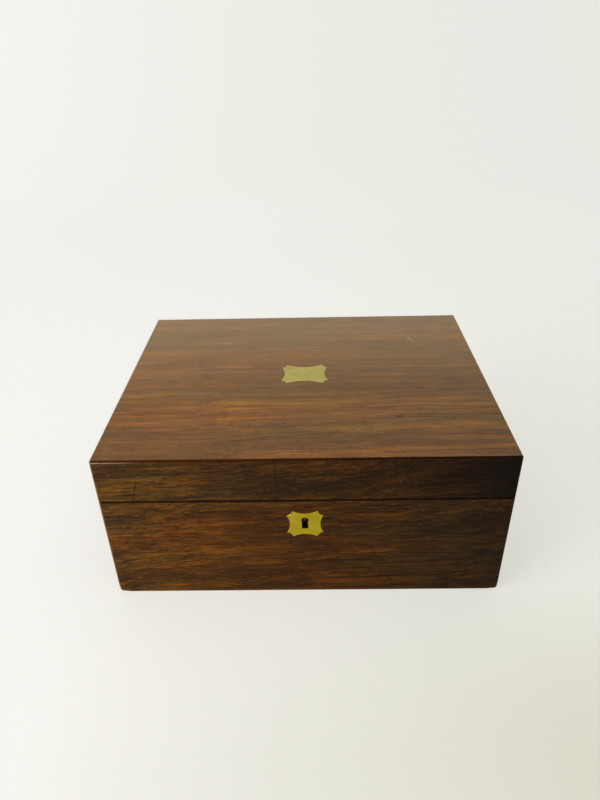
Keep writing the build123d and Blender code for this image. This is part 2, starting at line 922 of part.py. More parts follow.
pad_half_x = border_inner_x - lid_pad_gap
pad_half_y = border_inner_y - lid_pad_gap
pad_top = lid_ceiling - soft_gap
pad_low = pad_top - lid_pad_thickness
tuft_places = [
    (column * tuft_spacing, row * tuft_spacing)
    for column in range(-(tuft_columns // 2), tuft_columns // 2 + 1)
    for row in range(-(tuft_rows // 2), tuft_rows // 2 + 1)
]
with BuildPart() as lid_pad:
    with BuildSketch(Plane.XY.offset(pad_low)):
        RectangleRounded(2 * pad_half_x, 2 * pad_half_y, lid_pad_corner)
    extrude(amount=lid_pad_thickness)
    chamfer(faces().sort_by(Axis.Z)[0].edges(), length=lid_pad_bevel)
    with BuildSketch(Plane.XY.offset(pad_low)):
        with Locations(*tuft_places):
            RegularPolygon(tuft_mouth, tuft_sides, major_radius=False)
    extrude(amount=tuft_depth, taper=tuft_slope, mode=Mode.SUBTRACT)
save(lid_pad, "lid_pad")

button_seats = [
    Plane((x, y, pad_low + tuft_depth), x_dir=(1, 0, 0), z_dir=(0, 0, -1))
    for x, y in tuft_places
]
with BuildPart() as lid_pad_buttons:
    many_sided(button_seats, button_radius, button_crown, button_height, tuft_sides)
save(lid_pad_buttons, "lid_pad_buttons")

# Tray: dovetailed walls round a bottom, with halved dividers


def cut_scoop():
    """Cut the finger scoop in the top of a side wall."""
    radius = (scoop_width ** 2 / 4 + scoop_depth ** 2) / (2 * scoop_depth)
    with BuildSketch(Plane.YZ.offset(-box_width)) as scoop:
        with Locations((0, tray_high - scoop_depth + radius)):
            Circle(radius)
    extrude(scoop.sketch, amount=2 * box_width, mode=Mode.SUBTRACT)
    lips = edges().filter_by(Axis.X).filter_by_position(Axis.Y, -scoop_width, scoop_width)
    fillet(lips, radius=scoop_round)


for name, end in (("front", FRONT), ("back", BACK)):
    with BuildPart() as tray_end:
        end_board(tray_walls, end)
    save(tray_end, f"tray_{name}_wall")

for name, side in (("left", LEFT), ("right", RIGHT)):
    with BuildPart() as tray_side:
        side_board(tray_walls, side)
        cut_scoop()
    save(tray_side, f"tray_{name}_wall")

with BuildPart() as tray_floor_board:
    block((-tray_inner_x, tray_inner_x), (-tray_inner_y, tray_inner_y), (tray_low, tray_floor))
save(tray_floor_board, "tray_bottom")

half_divider = divider / 2
halving = (tray_floor + divider_top) / 2
with BuildPart() as tray_long_divider:
    block(
        (-tray_inner_x, tray_inner_x),
        (long_divider_y - half_divider, long_divider_y + half_divider),
        (tray_floor, divider_top),
    )
    for x in (-cross_divider_x, cross_divider_x):
        slot = half_divider + divider_gap
        block(
            (x - slot, x + slot),
            (long_divider_y - divider, long_divider_y + divider),
            (halving, divider_top),
            Mode.SUBTRACT,
        )
save(tray_long_divider, "tray_long_divider")

with BuildPart() as tray_cross_dividers:
    for x in (-cross_divider_x, cross_divider_x):
        block(
            (x - half_divider, x + half_divider),
            (-tray_inner_y, tray_inner_y),
            (tray_floor, divider_top),
        )
        slot = half_divider + divider_gap
        block(
            (x - divider, x + divider),
            (long_divider_y - slot, long_divider_y + slot),
            (tray_floor, halving),
            Mode.SUBTRACT,
        )
save(tray_cross_dividers, "tray_cross_dividers")

columns = (
    (-tray_inner_x, -cross_divider_x - half_divider),
    (-cross_divider_x + half_divider, cross_divider_x - half_divider),
    (cross_divider_x + half_divider, tray_inner_x),
)
front_row = (-tray_inner_y, long_divider_y - half_divider)
back_row = (long_divider_y + half_divider, tray_inner_y)


def inset(size, gap):
    """Range drawn in by a gap at both ends."""
    return (size[0] + gap, size[1] - gap)


padded_cells = [(column, front_row) for column in columns]
padded_cells += [(columns[0], back_row), (columns[2], back_row)]
with BuildPart() as tray_floor_pads:
    for column, row in padded_cells:
        pad_z = (tray_floor + soft_gap, tray_floor + soft_gap + tray_pad)
        block(inset(column, pad_inset), inset(row, pad_inset), pad_z)
save(tray_floor_pads, "tray_floor_pads")

with BuildPart() as ring_roll:
    row = inset(back_row, pad_inset)
    column = inset(columns[1], pad_inset)
    roll_radius = (row[1] - row[0]) / ring_roll_count / 2
    roll_level = tray_floor + soft_gap + ring_roll_height - roll_radius
    with BuildSketch(Plane.YZ.offset(column[0])):
        with Locations(((row[0] + row[1]) / 2, tray_floor + soft_gap)):
            Rectangle(
                row[1] - row[0],
                roll_level - tray_floor - soft_gap,
                align=(Align.CENTER, Align.MIN),
            )
        roll_places = [
            (row[0] + (2 * index + 1) * roll_radius, roll_level)
            for index in range(ring_roll_count)
        ]
        with Locations(*roll_places):
            Circle(roll_radius)
    extrude(amount=column[1] - column[0])
save(ring_roll, "ring_roll")

# Covers on their rests

cover_high = divider_top
cover_low = cover_high - cover_thickness
rest_top = cover_low - seat_gap
closed_columns = {"left": columns[0], "right": columns[2]}
with BuildPart() as cover_rests:
    for column in closed_columns.values():
        for x in ((column[0], column[0] + rest_width), (column[1] - rest_width, column[1])):
            block(x, back_row, (rest_top - rest_height, rest_top))
save(cover_rests, "cover_rests")

neck_top = cover_high + knob_foot_height
ball_level = neck_top + sqrt(knob_ball_radius ** 2 - knob_neck_radius ** 2)
neck_angle = atan2(neck_top - ball_level, knob_neck_radius)
band_angle = (radians(knob_crown_angle) - neck_angle) / knob_ball_bands
knob_profile = [(knob_foot_radius, cover_high), (knob_foot_radius, (cover_high + neck_top) / 2)]
for index in range(knob_ball_bands + 1):
    angle = neck_angle + index * band_angle
    ball_point = (knob_ball_radius * cos(angle), ball_level + knob_ball_radius * sin(angle))
    knob_profile.append(ball_point)


for name, column in closed_columns.items():
    middle_x = (column[0] + column[1]) / 2
    middle_y = (back_row[0] + back_row[1]) / 2
    with BuildPart() as cover:
        block(inset(column, cover_gap), inset(back_row, cover_gap), (cover_low, cover_high))
        chamfer(faces().sort_by(Axis.Z)[-1].edges(), length=cover_bevel)
        with Locations((middle_x, middle_y, cover_high)):
            Hole(knob_tenon_radius + knob_tenon_gap)
    save(cover, f"cover_{name}")

    with BuildPart() as knob:
        with Locations((middle_x, middle_y, cover_low)):
            Cylinder(
                knob_tenon_radius, cover_thickness, align=(Align.CENTER, Align.CENTER, Align.MIN)
            )
        for (low_size, low), (high_size, high) in pairwise(knob_profile):
            level, way = (low, UP) if low_size >= high_size else (high, DOWN)
            stage = Plane((middle_x, middle_y, level), x_dir=(1, 0, 0), z_dir=(0, 0, way))
            wide, narrow = max(low_size, high_size), min(low_size, high_size)
            many_sided([stage], wide, narrow, high - low, knob_sides)
    save(knob, f"cover_{name}_knob")
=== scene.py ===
"""Looks of the fitted travel box: polished mahogany, worn edges, aged brass and soft linings."""

import json
import math
from functools import cached_property

import bmesh
import bpy
from mathutils import Matrix, Vector, noise


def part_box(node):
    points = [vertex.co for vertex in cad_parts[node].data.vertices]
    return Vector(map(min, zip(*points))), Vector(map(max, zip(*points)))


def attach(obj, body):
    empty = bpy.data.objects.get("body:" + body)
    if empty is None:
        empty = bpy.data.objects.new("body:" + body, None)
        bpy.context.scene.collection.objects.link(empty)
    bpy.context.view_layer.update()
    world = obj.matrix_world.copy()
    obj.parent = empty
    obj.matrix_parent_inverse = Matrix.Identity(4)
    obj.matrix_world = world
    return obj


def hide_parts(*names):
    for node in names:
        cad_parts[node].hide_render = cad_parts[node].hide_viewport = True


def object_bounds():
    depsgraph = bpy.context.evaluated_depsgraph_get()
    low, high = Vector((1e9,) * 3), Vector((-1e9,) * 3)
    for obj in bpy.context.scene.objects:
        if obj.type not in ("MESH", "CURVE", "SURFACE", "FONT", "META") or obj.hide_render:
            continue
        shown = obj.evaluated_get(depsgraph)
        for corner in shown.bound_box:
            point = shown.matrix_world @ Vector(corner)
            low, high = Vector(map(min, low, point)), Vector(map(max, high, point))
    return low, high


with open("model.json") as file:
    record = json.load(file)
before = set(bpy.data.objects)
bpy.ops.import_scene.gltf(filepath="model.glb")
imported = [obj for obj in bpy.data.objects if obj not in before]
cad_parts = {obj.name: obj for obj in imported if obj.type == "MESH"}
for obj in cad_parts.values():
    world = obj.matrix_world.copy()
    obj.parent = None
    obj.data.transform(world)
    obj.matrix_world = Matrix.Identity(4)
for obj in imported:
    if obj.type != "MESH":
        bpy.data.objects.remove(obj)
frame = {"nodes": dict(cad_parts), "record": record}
cad_box = [list(corner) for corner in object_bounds()]
nodes = frame["nodes"]

MM = 0.001

# Camera, fitted to the corners of the box in the photograph
CAMERA_PLACE = (0.005198, -0.468263, 0.394382)
CAMERA_TILT = (-1.01952409, -0.0184373456, 0.0136869127)
CAMERA_LENS = 27.875

# Sizes of the box that the looks depend on
SKIN_LOW, SKIN_HIGH = (Vector(corner) for corner in cad_box)
HALF_WIDTH = SKIN_HIGH.x
HALF_DEPTH = SKIN_HIGH.y
TOP = SKIN_HIGH.z
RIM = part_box("base_front_veneer")[1].z
LID_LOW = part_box("lid_front_veneer")[0].z
KEYHOLE = (-0.9 * MM, -HALF_DEPTH, 70.5 * MM)

# Colours, in order: dark dirt that also serves as painted shade at the seam, in the keyhole and along the
# top front edge; a painted dark reflection on that edge; a painted highlight line on it; rubbed wear on the
# left edges, on the upright also a painted highlight; a pale painted sheen at the back of the top; pale
# scratches. Then the place where the painted highlight line along the top front edge ends
GRIME_AND_SHADE = (0.006, 0.0022, 0.0012)
DARK_EDGE_REFLECTION = (0.045, 0.0095, 0.0012)
GLINT = (0.50, 0.32, 0.19)
RUBBED_AND_LIT = (0.36, 0.20, 0.085)
PAINTED_SHEEN = (0.31, 0.22, 0.115)
SCRATCHED = (0.40, 0.31, 0.22)
GLINT_END = -HALF_WIDTH + 48 * MM

# Radii that the outer edges and corners have worn to, and how far from a corner that reaches
EDGE_WEAR = 0.9 * MM
UPRIGHT_WEAR = 0.9 * MM
FOOT_WEAR = 2.6 * MM
HEAD_WEAR = 1.4 * MM
CORNER_WEAR_REACH = 9 * MM

# How far straight grain wanders sideways
GRAIN_WANDER = 22 * MM

# Cracks in the lid's front, each from a low to a high place as x and z
LID_CRACKS = (
    ((-126.8 * MM, LID_LOW), (-120.8 * MM, LID_LOW + 22 * MM)),
    ((-21.5 * MM, TOP - 16 * MM), (-21.9 * MM, TOP)),
)

# Marks seen on the lid's top: place, half sizes, turn, colour and strength
TOP_MARKS = (
    ((73.2 * MM, -68.0 * MM, TOP), (4.0 * MM, 1.9 * MM, 1.0), 0.1, (0.03, 0.014, 0.008), 0.7),
    ((-152.3 * MM, 25.8 * MM, TOP), (1.9 * MM, 3.2 * MM, 1.0), 0.0, GRIME_AND_SHADE, 0.9),
    ((99.4 * MM, 66.9 * MM, TOP), (7.6 * MM, 1.4 * MM, 1.0), -1.13, SCRATCHED, 0.55),
    ((-74.6 * MM, 62.7 * MM, TOP), (12 * MM, 1.3 * MM, 1.0), -0.16, SCRATCHED, 0.45),
)


# Materials


class Graph:
    """Nodes of a new material or world, with one short method for each kind of node it uses."""

    def __init__(self, name, kind=bpy.data.materials):
        self.owner = kind.new(name)
        self.owner.use_nodes = True
        self.tree = self.owner.node_tree

    @cached_property
    def object_place(self):
        """The place on the object that is painted."""
        return self.node("ShaderNodeTexCoord").outputs["Object"]

    def node(self, kind, inputs=None, **settings):
        """Add a node, set its plain properties and feed its inputs."""
        made = self.tree.nodes.new(kind)
        for key, value in settings.items():
            setattr(made, key, value)
        for key, value in (inputs or {}).items():
            self.join(value, made.inputs[key])
        return made

    def join(self, value, socket):
        """Link an output to a socket, or set the socket to a plain number, vector or colour."""
        if isinstance(value, bpy.types.NodeSocket):
            self.tree.links.new(value, socket)
        elif socket.type == "RGBA":
            socket.default_value = (*value, 1)
        else:
            socket.default_value = value

    def math(self, operation, first, second=0.0, **settings):
        """One sum on numbers."""
        inputs = {0: first, 1: second}
        return self.node("ShaderNodeMath", inputs, operation=operation, **settings).outputs[0]

    def times(self, first, *others):
        """Product of numbers."""
        for other in others:
            first = self.math("MULTIPLY", first, other)
        return first

    def plus(self, first, second, clamp=False):
        """Sum of two numbers."""
        return self.math("ADD", first, second, use_clamp=clamp)

    def gap(self, first, second):
        """How far two numbers are apart."""
        return self.math("ABSOLUTE", self.math("SUBTRACT", first, second))

    def length(self, vector):
        """Length of a vector."""
        return self.node("ShaderNodeVectorMath", {0: vector}, operation="LENGTH").outputs["Value"]

    def stretched(self, scale, shift=(0, 0, 0), turn=(0, 0, 0), place=None):
        """The place on the object, scaled evenly or along each axis, so that noise stretches."""
        inputs = {
            "Vector": place or self.object_place,
            "Scale": scale if isinstance(scale, (tuple, list)) else (scale, scale, scale),
            "Rotation": turn,
            "Location": shift,
        }
        return self.node("ShaderNodeMapping", inputs).outputs[0]

    def noise(self, vector, detail, roughness=0.5, distortion=0.0):
        """Noise from 0 to 1."""
        inputs = {
            "Vector": vector, "Scale": 1.0, "Detail": detail, "Roughness": roughness,
            "Distortion": distortion,
        }
        return self.node("ShaderNodeTexNoise", inputs).outputs["Fac"]

    def cells(self, vector, feature):
        """Distance in a pattern of cells."""
        inputs = {"Vector": vector, "Scale": 1.0}
        return self.node("ShaderNodeTexVoronoi", inputs, feature=feature).outputs["Distance"]

    def level(self, value, low, high, to_low=0.0, to_high=1.0, kind="SMOOTHSTEP"):
        """Map a range of values to another one, clamped."""
        inputs = {
            "Value": value, "From Min": low, "From Max": high, "To Min": to_low, "To Max": to_high,
        }
        made = self.node("ShaderNodeMapRange", inputs, clamp=True, interpolation_type=kind)
        return made.outputs["Result"]

    def evenly(self, value, low, high, to_low=0.0, to_high=1.0):
        """Map a range of values to another one in a straight line, clamped."""
        return self.level(value, low, high, to_low, to_high, "LINEAR")

    def fall(self, value, low, high):
        """From 1 at a low value down to 0 at a high one."""
        return self.level(value, low, high, 1.0, 0.0)

    def mix(self, factor, first, second, blend="MIX"):
        """Mix two colours."""
        made = self.node("ShaderNodeMix", {"Factor": factor}, data_type="RGBA", blend_type=blend)
        sockets = [socket for socket in made.inputs if socket.type == "RGBA"]
        for colour, socket in zip((first, second), sockets):
            self.join(colour, socket)
        return next(socket for socket in made.outputs if socket.type == "RGBA")

    def cover(self, colour, other, mask, share):
        """Lay another colour over a colour, up to a share of it where the mask is 1."""
        return self.mix(self.times(mask, share), colour, other)

    def shade(self, colour, gain):
        """Multiply a colour by a number."""
        grey = self.node("ShaderNodeCombineColor", {index: gain for index in range(3)})
        return self.mix(1.0, colour, grey.outputs[0], "MULTIPLY")

    def ramp(self, value, *stops):
        """Colours along a value, each stop a place and a colour."""
        made = self.node("ShaderNodeValToRGB", {0: value})
        elements = made.color_ramp.elements
        while len(elements) < len(stops):
            elements.new(1.0)
        for element, (place, colour) in zip(elements, stops):
            element.position = place
            element.color = (*colour, 1)
        return made.outputs[0]

    def axis(self, name):
        """One coordinate of the place on the object."""
        return self.node("ShaderNodeSeparateXYZ", {0: self.object_place}).outputs[name]

    def bump(self, height, distance, strength, below=None):
        """Bump from a height from 0 to 1 that stands for a distance in metres."""
        inputs = {"Height": height, "Distance": distance, "Strength": strength}
        if below is not None:
            inputs["Normal"] = below
        return self.node("ShaderNodeBump", inputs).outputs[0]

    def finish(self, colour, roughness, normal=None, **others):
        """Feed the shader's sockets, the other ones by their names in small letters."""
        shader = self.tree.nodes["Principled BSDF"]
        self.join(colour, shader.inputs["Base Color"])
        self.join(roughness, shader.inputs["Roughness"])
        if normal is not None:
            self.join(normal, shader.inputs["Normal"])
        for name, value in others.items():
            socket = name.replace("_", " ").title().replace("Ior", "IOR")
            self.join(value, shader.inputs[socket])
        return self.owner


def scaled(colour, gain):
    """A colour made darker or lighter."""
    return [min(1.0, channel * gain) for channel in colour]


def edge_nearness(graph, first, second, reach):
    """From 1 on the edge of two planes to 0 at a reach from it, each plane an axis and a place."""
    away = [graph.gap(graph.axis(axis_name), place) for axis_name, place in (first, second)]
    return graph.fall(graph.math("MAXIMUM", *away), 0.0, reach)


def grain_place(graph, along, slope, seed):
    """The place on the object, bent so that straight grain rises by a slope and wanders."""
    slow = (5, 9, 9) if along == "X" else (9, 5, 9)
    waves = graph.noise(graph.stretched(slow, (seed, seed, seed)), 2)
    wander_by = graph.times(graph.math("SUBTRACT", waves, 0.5), GRAIN_WANDER)
    drift = graph.plus(graph.times(graph.axis(along), slope), wander_by)
    bent = {}
    for axis_name in "XYZ":
        value = graph.axis(axis_name)
        bent[axis_name] = value if axis_name == along else graph.math("SUBTRACT", value, drift)
    return graph.node("ShaderNodeCombineXYZ", bent).outputs[0]


def crack_lines(graph, cracks):
    """Hairline cracks across a front, each from a low to a high place given as x and z."""
    lines = 0.0
    height = graph.axis("Z")
    for (low_x, low_z), (high_x, high_z) in cracks:
        straight = graph.evenly(height, low_z, high_z, low_x, high_x)
        jitter = graph.math("SUBTRACT", graph.noise(graph.stretched(300), 3), 0.5)
        path = graph.plus(straight, graph.times(jitter, 2.2 * MM))
        line = graph.times(
            graph.fall(graph.gap(graph.axis("X"), path), 0.10 * MM, 0.45 * MM),
            graph.level(height, low_z - MM, low_z),
            graph.fall(height, high_z - 3 * MM, high_z),
        )
        lines = graph.math("MAXIMUM", lines, line)
    return lines


def spot_mask(graph, place, size, turn=0.0):
    """From 1 in the middle of an ellipsoid to 0 outside it, turned about the upright axis."""
    inputs = {"Vector": graph.object_place, "Location": place, "Rotation": (0, 0, turn), "Scale": size}
    moved = graph.node("ShaderNodeMapping", inputs, vector_type="TEXTURE")
    return graph.fall(graph.length(moved.outputs[0]), 0.45, 1.0)


def figured_colour(graph, grained, fine, tone, contrast):
    """Colour of figured mahogany: streaks, changes of hue, fine lines, dark patches and flecks."""

    def softened(*gains):
        return [1 + (gain - 1) * contrast for gain in gains]

    def toned(*gains):
        return [channel * gain for channel, gain in zip(tone, softened(*gains))]

    wide = graph.noise(grained(2.6, 42), 3, 0.5, 0.5)
    streak = graph.noise(grained(2.8, 180), 6, 0.64, 0.8)
    narrow = graph.noise(grained(5, 430), 4, 0.68, 0.4)
    figure = graph.plus(graph.times(wide, 0.30), graph.times(streak, 0.42))
    figure = graph.plus(figure, graph.times(narrow, 0.28))
    colour = graph.ramp(
        figure,
        (0.39, toned(0.38, 0.50, 0.95)),
        (0.46, toned(0.70, 0.76, 1.00)),
        (0.50, toned(1.0, 1.0, 1.0)),
        (0.55, toned(1.50, 1.45, 1.10)),
        (0.62, toned(2.30, 2.10, 1.25)),
    )
    hue = graph.level(graph.noise(grained(5, 26), 3), 0.38, 0.62)
    tint = graph.mix(hue, softened(0.76, 0.90, 1.0), softened(1.0, 0.86, 0.68))
    colour = graph.mix(1.0, colour, tint, "MULTIPLY")
    colour = graph.shade(colour, graph.level(fine, 0.40, 0.62, 1 - 0.44 * contrast, 1 + 0.42 * contrast))
    patch = graph.level(graph.noise(grained(8, 30), 4, 0.6, 0.5), 0.46, 0.64)
    colour = graph.cover(colour, toned(0.34, 0.42, 0.70), patch, 0.62 * contrast)
    fleck = graph.level(graph.noise(grained(55, 900), 3, 0.6), 0.59, 0.68)
    return graph.cover(colour, toned(2.5, 2.3, 1.2), fleck, 0.50 * contrast)


def wear_and_painted_light(graph, colour):
    """Painted dark reflection and a painted highlight line on the top front edge, painted shade at the
    seam, rubbed left edges, the upright of which also takes a painted highlight.

    Gives the colour, where the edges are rubbed with that highlight, and where the veneer is dull under its
    painted dark bands.
    """
    ragged = graph.noise(graph.stretched(150), 5, 0.65)
    left, front = ("X", -HALF_WIDTH), ("Y", -HALF_DEPTH)
    dark_edge_band, rub_and_highlight_band, foot_band = 3.2 * MM, 2.2 * MM, 7 * MM
    # Painted dark reflection along the rounded top front edge, reddish at the left and blacker towards the
    # right as painted shade; its shine is taken away below
    top_edge = edge_nearness(graph, front, ("Z", TOP), dark_edge_band)
    top_edge = graph.level(graph.plus(top_edge, graph.times(ragged, 0.5)), 0.62, 1.0)
    darker = graph.level(graph.axis("X"), -0.6 * HALF_WIDTH, 0.7 * HALF_WIDTH)
    colour = graph.cover(colour, graph.mix(darker, DARK_EDGE_REFLECTION, GRIME_AND_SHADE), top_edge, 0.95)

    # Painted highlight: a pale line low on the rounded top front edge at its left end, standing in for the
    # window's reflection
    depth = graph.gap(TOP, graph.axis("Z"))
    glint = graph.times(
        graph.level(depth, 0.8 * MM, 1.2 * MM),
        graph.fall(depth, 1.5 * MM, 2.3 * MM),
        graph.fall(graph.gap(graph.axis("Y"), -HALF_DEPTH), 0.8 * MM, 1.2 * MM),
        graph.fall(graph.axis("X"), -HALF_WIDTH, GLINT_END),
        graph.level(ragged, 0.34, 0.56),
    )
    colour = graph.mix(glint, colour, GLINT)

    # Painted shade on the faces beside the seam between lid and base, standing in for the shade in the gap
    height = graph.axis("Z")
    seam = graph.math("MINIMUM", graph.gap(height, RIM), graph.gap(height, LID_LOW))
    inward = [
        graph.math("SUBTRACT", half, graph.math("ABSOLUTE", graph.axis(axis_name)))
        for axis_name, half in (("X", HALF_WIDTH), ("Y", HALF_DEPTH))
    ]
    at_face = graph.level(graph.math("MINIMUM", *inward), 0.2 * MM, 0.9 * MM, 1.0, 0.15)
    seam_shade = graph.times(graph.fall(seam, 0.35 * MM, 0.9 * MM), at_face)
    colour = graph.cover(colour, GRIME_AND_SHADE, seam_shade, 0.9)

    # Rubbed wear along the left upright and the left foot edge; on the upright it is also a painted
    # highlight where the light from the left catches the edge
    upright_rub_and_highlight = graph.times(edge_nearness(graph, left, front, rub_and_highlight_band), 0.9)
    foot_rub = graph.times(edge_nearness(graph, ("Z", SKIN_LOW.z), left, foot_band), 0.7)
    worn = graph.math(
        "MAXIMUM",
        graph.level(graph.plus(upright_rub_and_highlight, ragged), 0.70, 1.0),
        graph.level(graph.plus(foot_rub, ragged), 0.92, 1.2),
    )
    colour = graph.cover(colour, RUBBED_AND_LIT, worn, 0.8)
    return colour, worn, graph.math("MAXIMUM", seam_shade, top_edge)


def polished_veneer(
    name, along, tone, seed, right_shade, shine, contrast=1.0, slope=0.0, cracks=(), fade=0.0, marks=(),
):
    """French-polished figured mahogany, with its grain along one axis of the box.

    right_shade is how far painted shade darkens the figure towards the right end of the box, contrast how
    strongly it shows, slope how much the grain rises along it, and fade how far a pale painted sheen covers
    the colour towards the back, which brings painted shade towards the front with it.
    """
    graph = Graph(name)
    shift = (seed * 3.7, seed * 1.3, seed * 2.1)
    place = grain_place(graph, along, slope, seed)

    def grained(lengthwise, across):
        scale = (lengthwise, across, across) if along == "X" else (across, lengthwise, across)
        return graph.stretched(scale, shift, place=place)

    fine = graph.noise(grained(13, 800), 5, 0.78, 0.4)
    colour = figured_colour(graph, grained, fine, tone, contrast)
    pores = graph.fall(graph.cells(grained(130, 1050), "F1"), 0.16, 0.34)
    pore_here = graph.level(graph.noise(graph.stretched(60), 2), 0.42, 0.56)
    pore = graph.times(pores, pore_here)
    colour = graph.cover(colour, scaled(tone, 0.12), pore, 0.75)
    # Painted shade: the colour darkens evenly towards the right end of the box, standing in for light that
    # falls off to the right
    colour = graph.shade(colour, graph.evenly(graph.axis("X"), -HALF_WIDTH, HALF_WIDTH, 1.0, right_shade))
    if fade:
        # Painted sheen: the top turns paler and greyer towards the back as a painted reflection of the
        # wall, and darker towards the front as painted shade
        back = graph.level(graph.axis("Y"), -0.5 * HALF_DEPTH, 1.25 * HALF_DEPTH, 0.0, fade)
        colour = graph.mix(back, colour, PAINTED_SHEEN)
        colour = graph.shade(colour, graph.level(graph.axis("Y"), -HALF_DEPTH, 0.0, 0.84, 1.0))

    craze = graph.fall(graph.cells(graph.stretched(260), "DISTANCE_TO_EDGE"), 0.0, 0.07)
    craze_here = graph.level(graph.noise(graph.stretched(34, shift), 3), 0.50, 0.64)
    craze = graph.times(craze, craze_here)
    colour = graph.cover(colour, scaled(tone, 0.2), craze, 0.45)
    for mark_place, size, turn, mark_tone, strength in marks:
        colour = graph.cover(colour, mark_tone, spot_mask(graph, mark_place, size, turn), strength)
    if cracks:
        colour = graph.cover(colour, scaled(tone, 0.06), crack_lines(graph, cracks), 0.85)
    colour, worn, dull = wear_and_painted_light(graph, colour)

    scratch = graph.level(graph.noise(graph.stretched((9, 700, 700), turn=(0, 0.2, 0.9)), 2), 0.70, 0.76)
    patches = graph.noise(graph.stretched(26, shift), 5, 0.6)
    rough = graph.plus(graph.level(patches, 0.3, 0.7, 0.28, 0.42), graph.times(worn, 0.22))
    rough = graph.plus(rough, graph.times(scratch, 0.12), clamp=True)
    normal = graph.bump(graph.noise(grained(4, 34), 2), 1.2 * MM, 0.5)
    normal = graph.bump(fine, 0.10 * MM, 0.45, normal)
    return graph.finish(colour, rough, normal, specular_ior_level=graph.evenly(dull, 0.0, 1.0, shine, 0.02))


def plain_wood(name, along, tone, sheen_rough, seed, keyhole=False):
    """Solid mahogany of the boards, linings and tray, waxed and less glossy than the outside.

    keyhole paints the wood round the key's way nearly black, as painted shade inside the keyhole where
    little light reaches.
    """
    graph = Graph(name)
    shift = (seed * 2.3, seed * 5.1, seed * 0.7)

    def grained(scale):
        return graph.stretched([scale if axis_name == along else 10 * scale for axis_name in "XYZ"], shift)

    fine = graph.noise(grained(70), 4, 0.7)
    colour = graph.ramp(
        graph.noise(grained(9), 6, 0.6, 1.0),
        (0.30, scaled(tone, 0.55)),
        (0.50, tone),
        (0.70, scaled(tone, 1.45)),
    )
    pore = graph.fall(graph.cells(grained(120), "F1"), 0.08, 0.22)
    colour = graph.cover(colour, scaled(tone, 0.3), pore, 0.5)
    # Painted shade: the board round the keyhole goes nearly black
    if keyhole:
        colour = graph.mix(spot_mask(graph, KEYHOLE, (16 * MM, 1.0, 16 * MM)), colour, GRIME_AND_SHADE)
    rough = graph.level(fine, 0.3, 0.7, sheen_rough - 0.06, sheen_rough + 0.1)
    return graph.finish(colour, rough, graph.bump(fine, 0.12 * MM, 0.6), specular_ior_level=0.4)


def old_brass(name, tone, roughness, seed):
    """Brass that has been polished flush with the wood: soft stains and fine scratches."""
    graph = Graph(name)
    shift = (seed * 1.9, seed * 0.8, seed * 3.1)
    stain = graph.noise(graph.stretched(70, shift), 5, 0.6, 0.8)
    colour = graph.ramp(
        stain,
        (0.30, [tone[0] * 0.86, tone[1] * 0.83, tone[2] * 0.70]),
        (0.52, tone),
        (0.72, scaled(tone, 1.07)),
    )
    spot = graph.level(graph.noise(graph.stretched(420, shift), 3, 0.6), 0.70, 0.78)
    colour = graph.cover(colour, (0.17, 0.10, 0.03), spot, 0.45)
    hair = graph.noise(graph.stretched((60, 1500, 1500), turn=(0.3, 0.2, 0.5)), 2)
    scratch = graph.level(hair, 0.60, 0.72)
    rough = graph.level(stain, 0.3, 0.7, roughness + 0.06, roughness - 0.03)
    rough = graph.plus(rough, graph.times(scratch, 0.06), clamp=True)
    normal = graph.bump(graph.noise(graph.stretched(90), 2), 0.3 * MM, 0.12)
    return graph.finish(colour, rough, normal, metallic=1.0)


def filed_steel(name, seed):
    """Dark filed steel with rust freckles, for the works of the lock."""
    graph = Graph(name)
    lines = graph.noise(graph.stretched((40, 1100, 1100), (seed, seed, seed)), 3)
    rust = graph.level(graph.noise(graph.stretched(300), 5, 0.6), 0.56, 0.70)
    colour = graph.mix(rust, (0.30, 0.28, 0.26), (0.16, 0.07, 0.03))
    rough = graph.level(lines, 0.3, 0.7, 0.34, 0.52)
    return graph.finish(colour, rough, graph.bump(lines, 0.04 * MM, 0.5), metallic=0.85)


def velvet(name, tone, seed):
    """Cut-pile velvet: dark body, pale sheen at grazing angles, pile brushed in patches."""
    graph = Graph(name)
    brushed = graph.noise(graph.stretched(28, (seed, seed, seed)), 4, 0.6, 0.7)
    pile = graph.noise(graph.stretched(2400), 2, 0.7)
    colour = graph.ramp(
        brushed,
        (0.30, scaled(tone, 0.62)),
        (0.55, tone),
        (0.72, scaled(tone, 1.5)),
    )
    colour = graph.mix(graph.level(pile, 0.3, 0.7, 0.0, 0.45), colour, scaled(tone, 0.45))
    normal = graph.bump(pile, 0.25 * MM, 0.8, graph.bump(brushed, 0.6 * MM, 0.5))
    return graph.finish(colour, 0.92, normal, specular_ior_level=0.15, sheen_weight=0.7,
                        sheen_roughness=0.45, sheen_tint=(1.0, 0.62, 0.60))


def ribbed_silk(name, tone, seed):
    """Silk with fine ribs across the border, shot lighter along them."""
    graph = Graph(name)
    inputs = {"Vector": graph.stretched((1, 1, 0.2), (seed, seed, 0)), "Scale": 420, "Distortion": 0.4}
    ribs = graph.node("ShaderNodeTexWave", inputs, wave_type="BANDS", bands_direction="DIAGONAL")
    rib = ribs.outputs["Fac"]
    slub = graph.noise(graph.stretched((60, 60, 400)), 4, 0.6)
    colour = graph.mix(graph.level(rib, 0.1, 0.9, 0.0, 0.55), tone, scaled(tone, 0.5))
    colour = graph.mix(graph.level(slub, 0.5, 0.7, 0.0, 0.4), colour, scaled(tone, 1.5))
    rough = graph.level(slub, 0.3, 0.7, 0.38, 0.5)
    return graph.finish(colour, rough, graph.bump(rib, 0.18 * MM, 0.7), specular_ior_level=0.5,
                        sheen_weight=0.3, sheen_roughness=0.3)


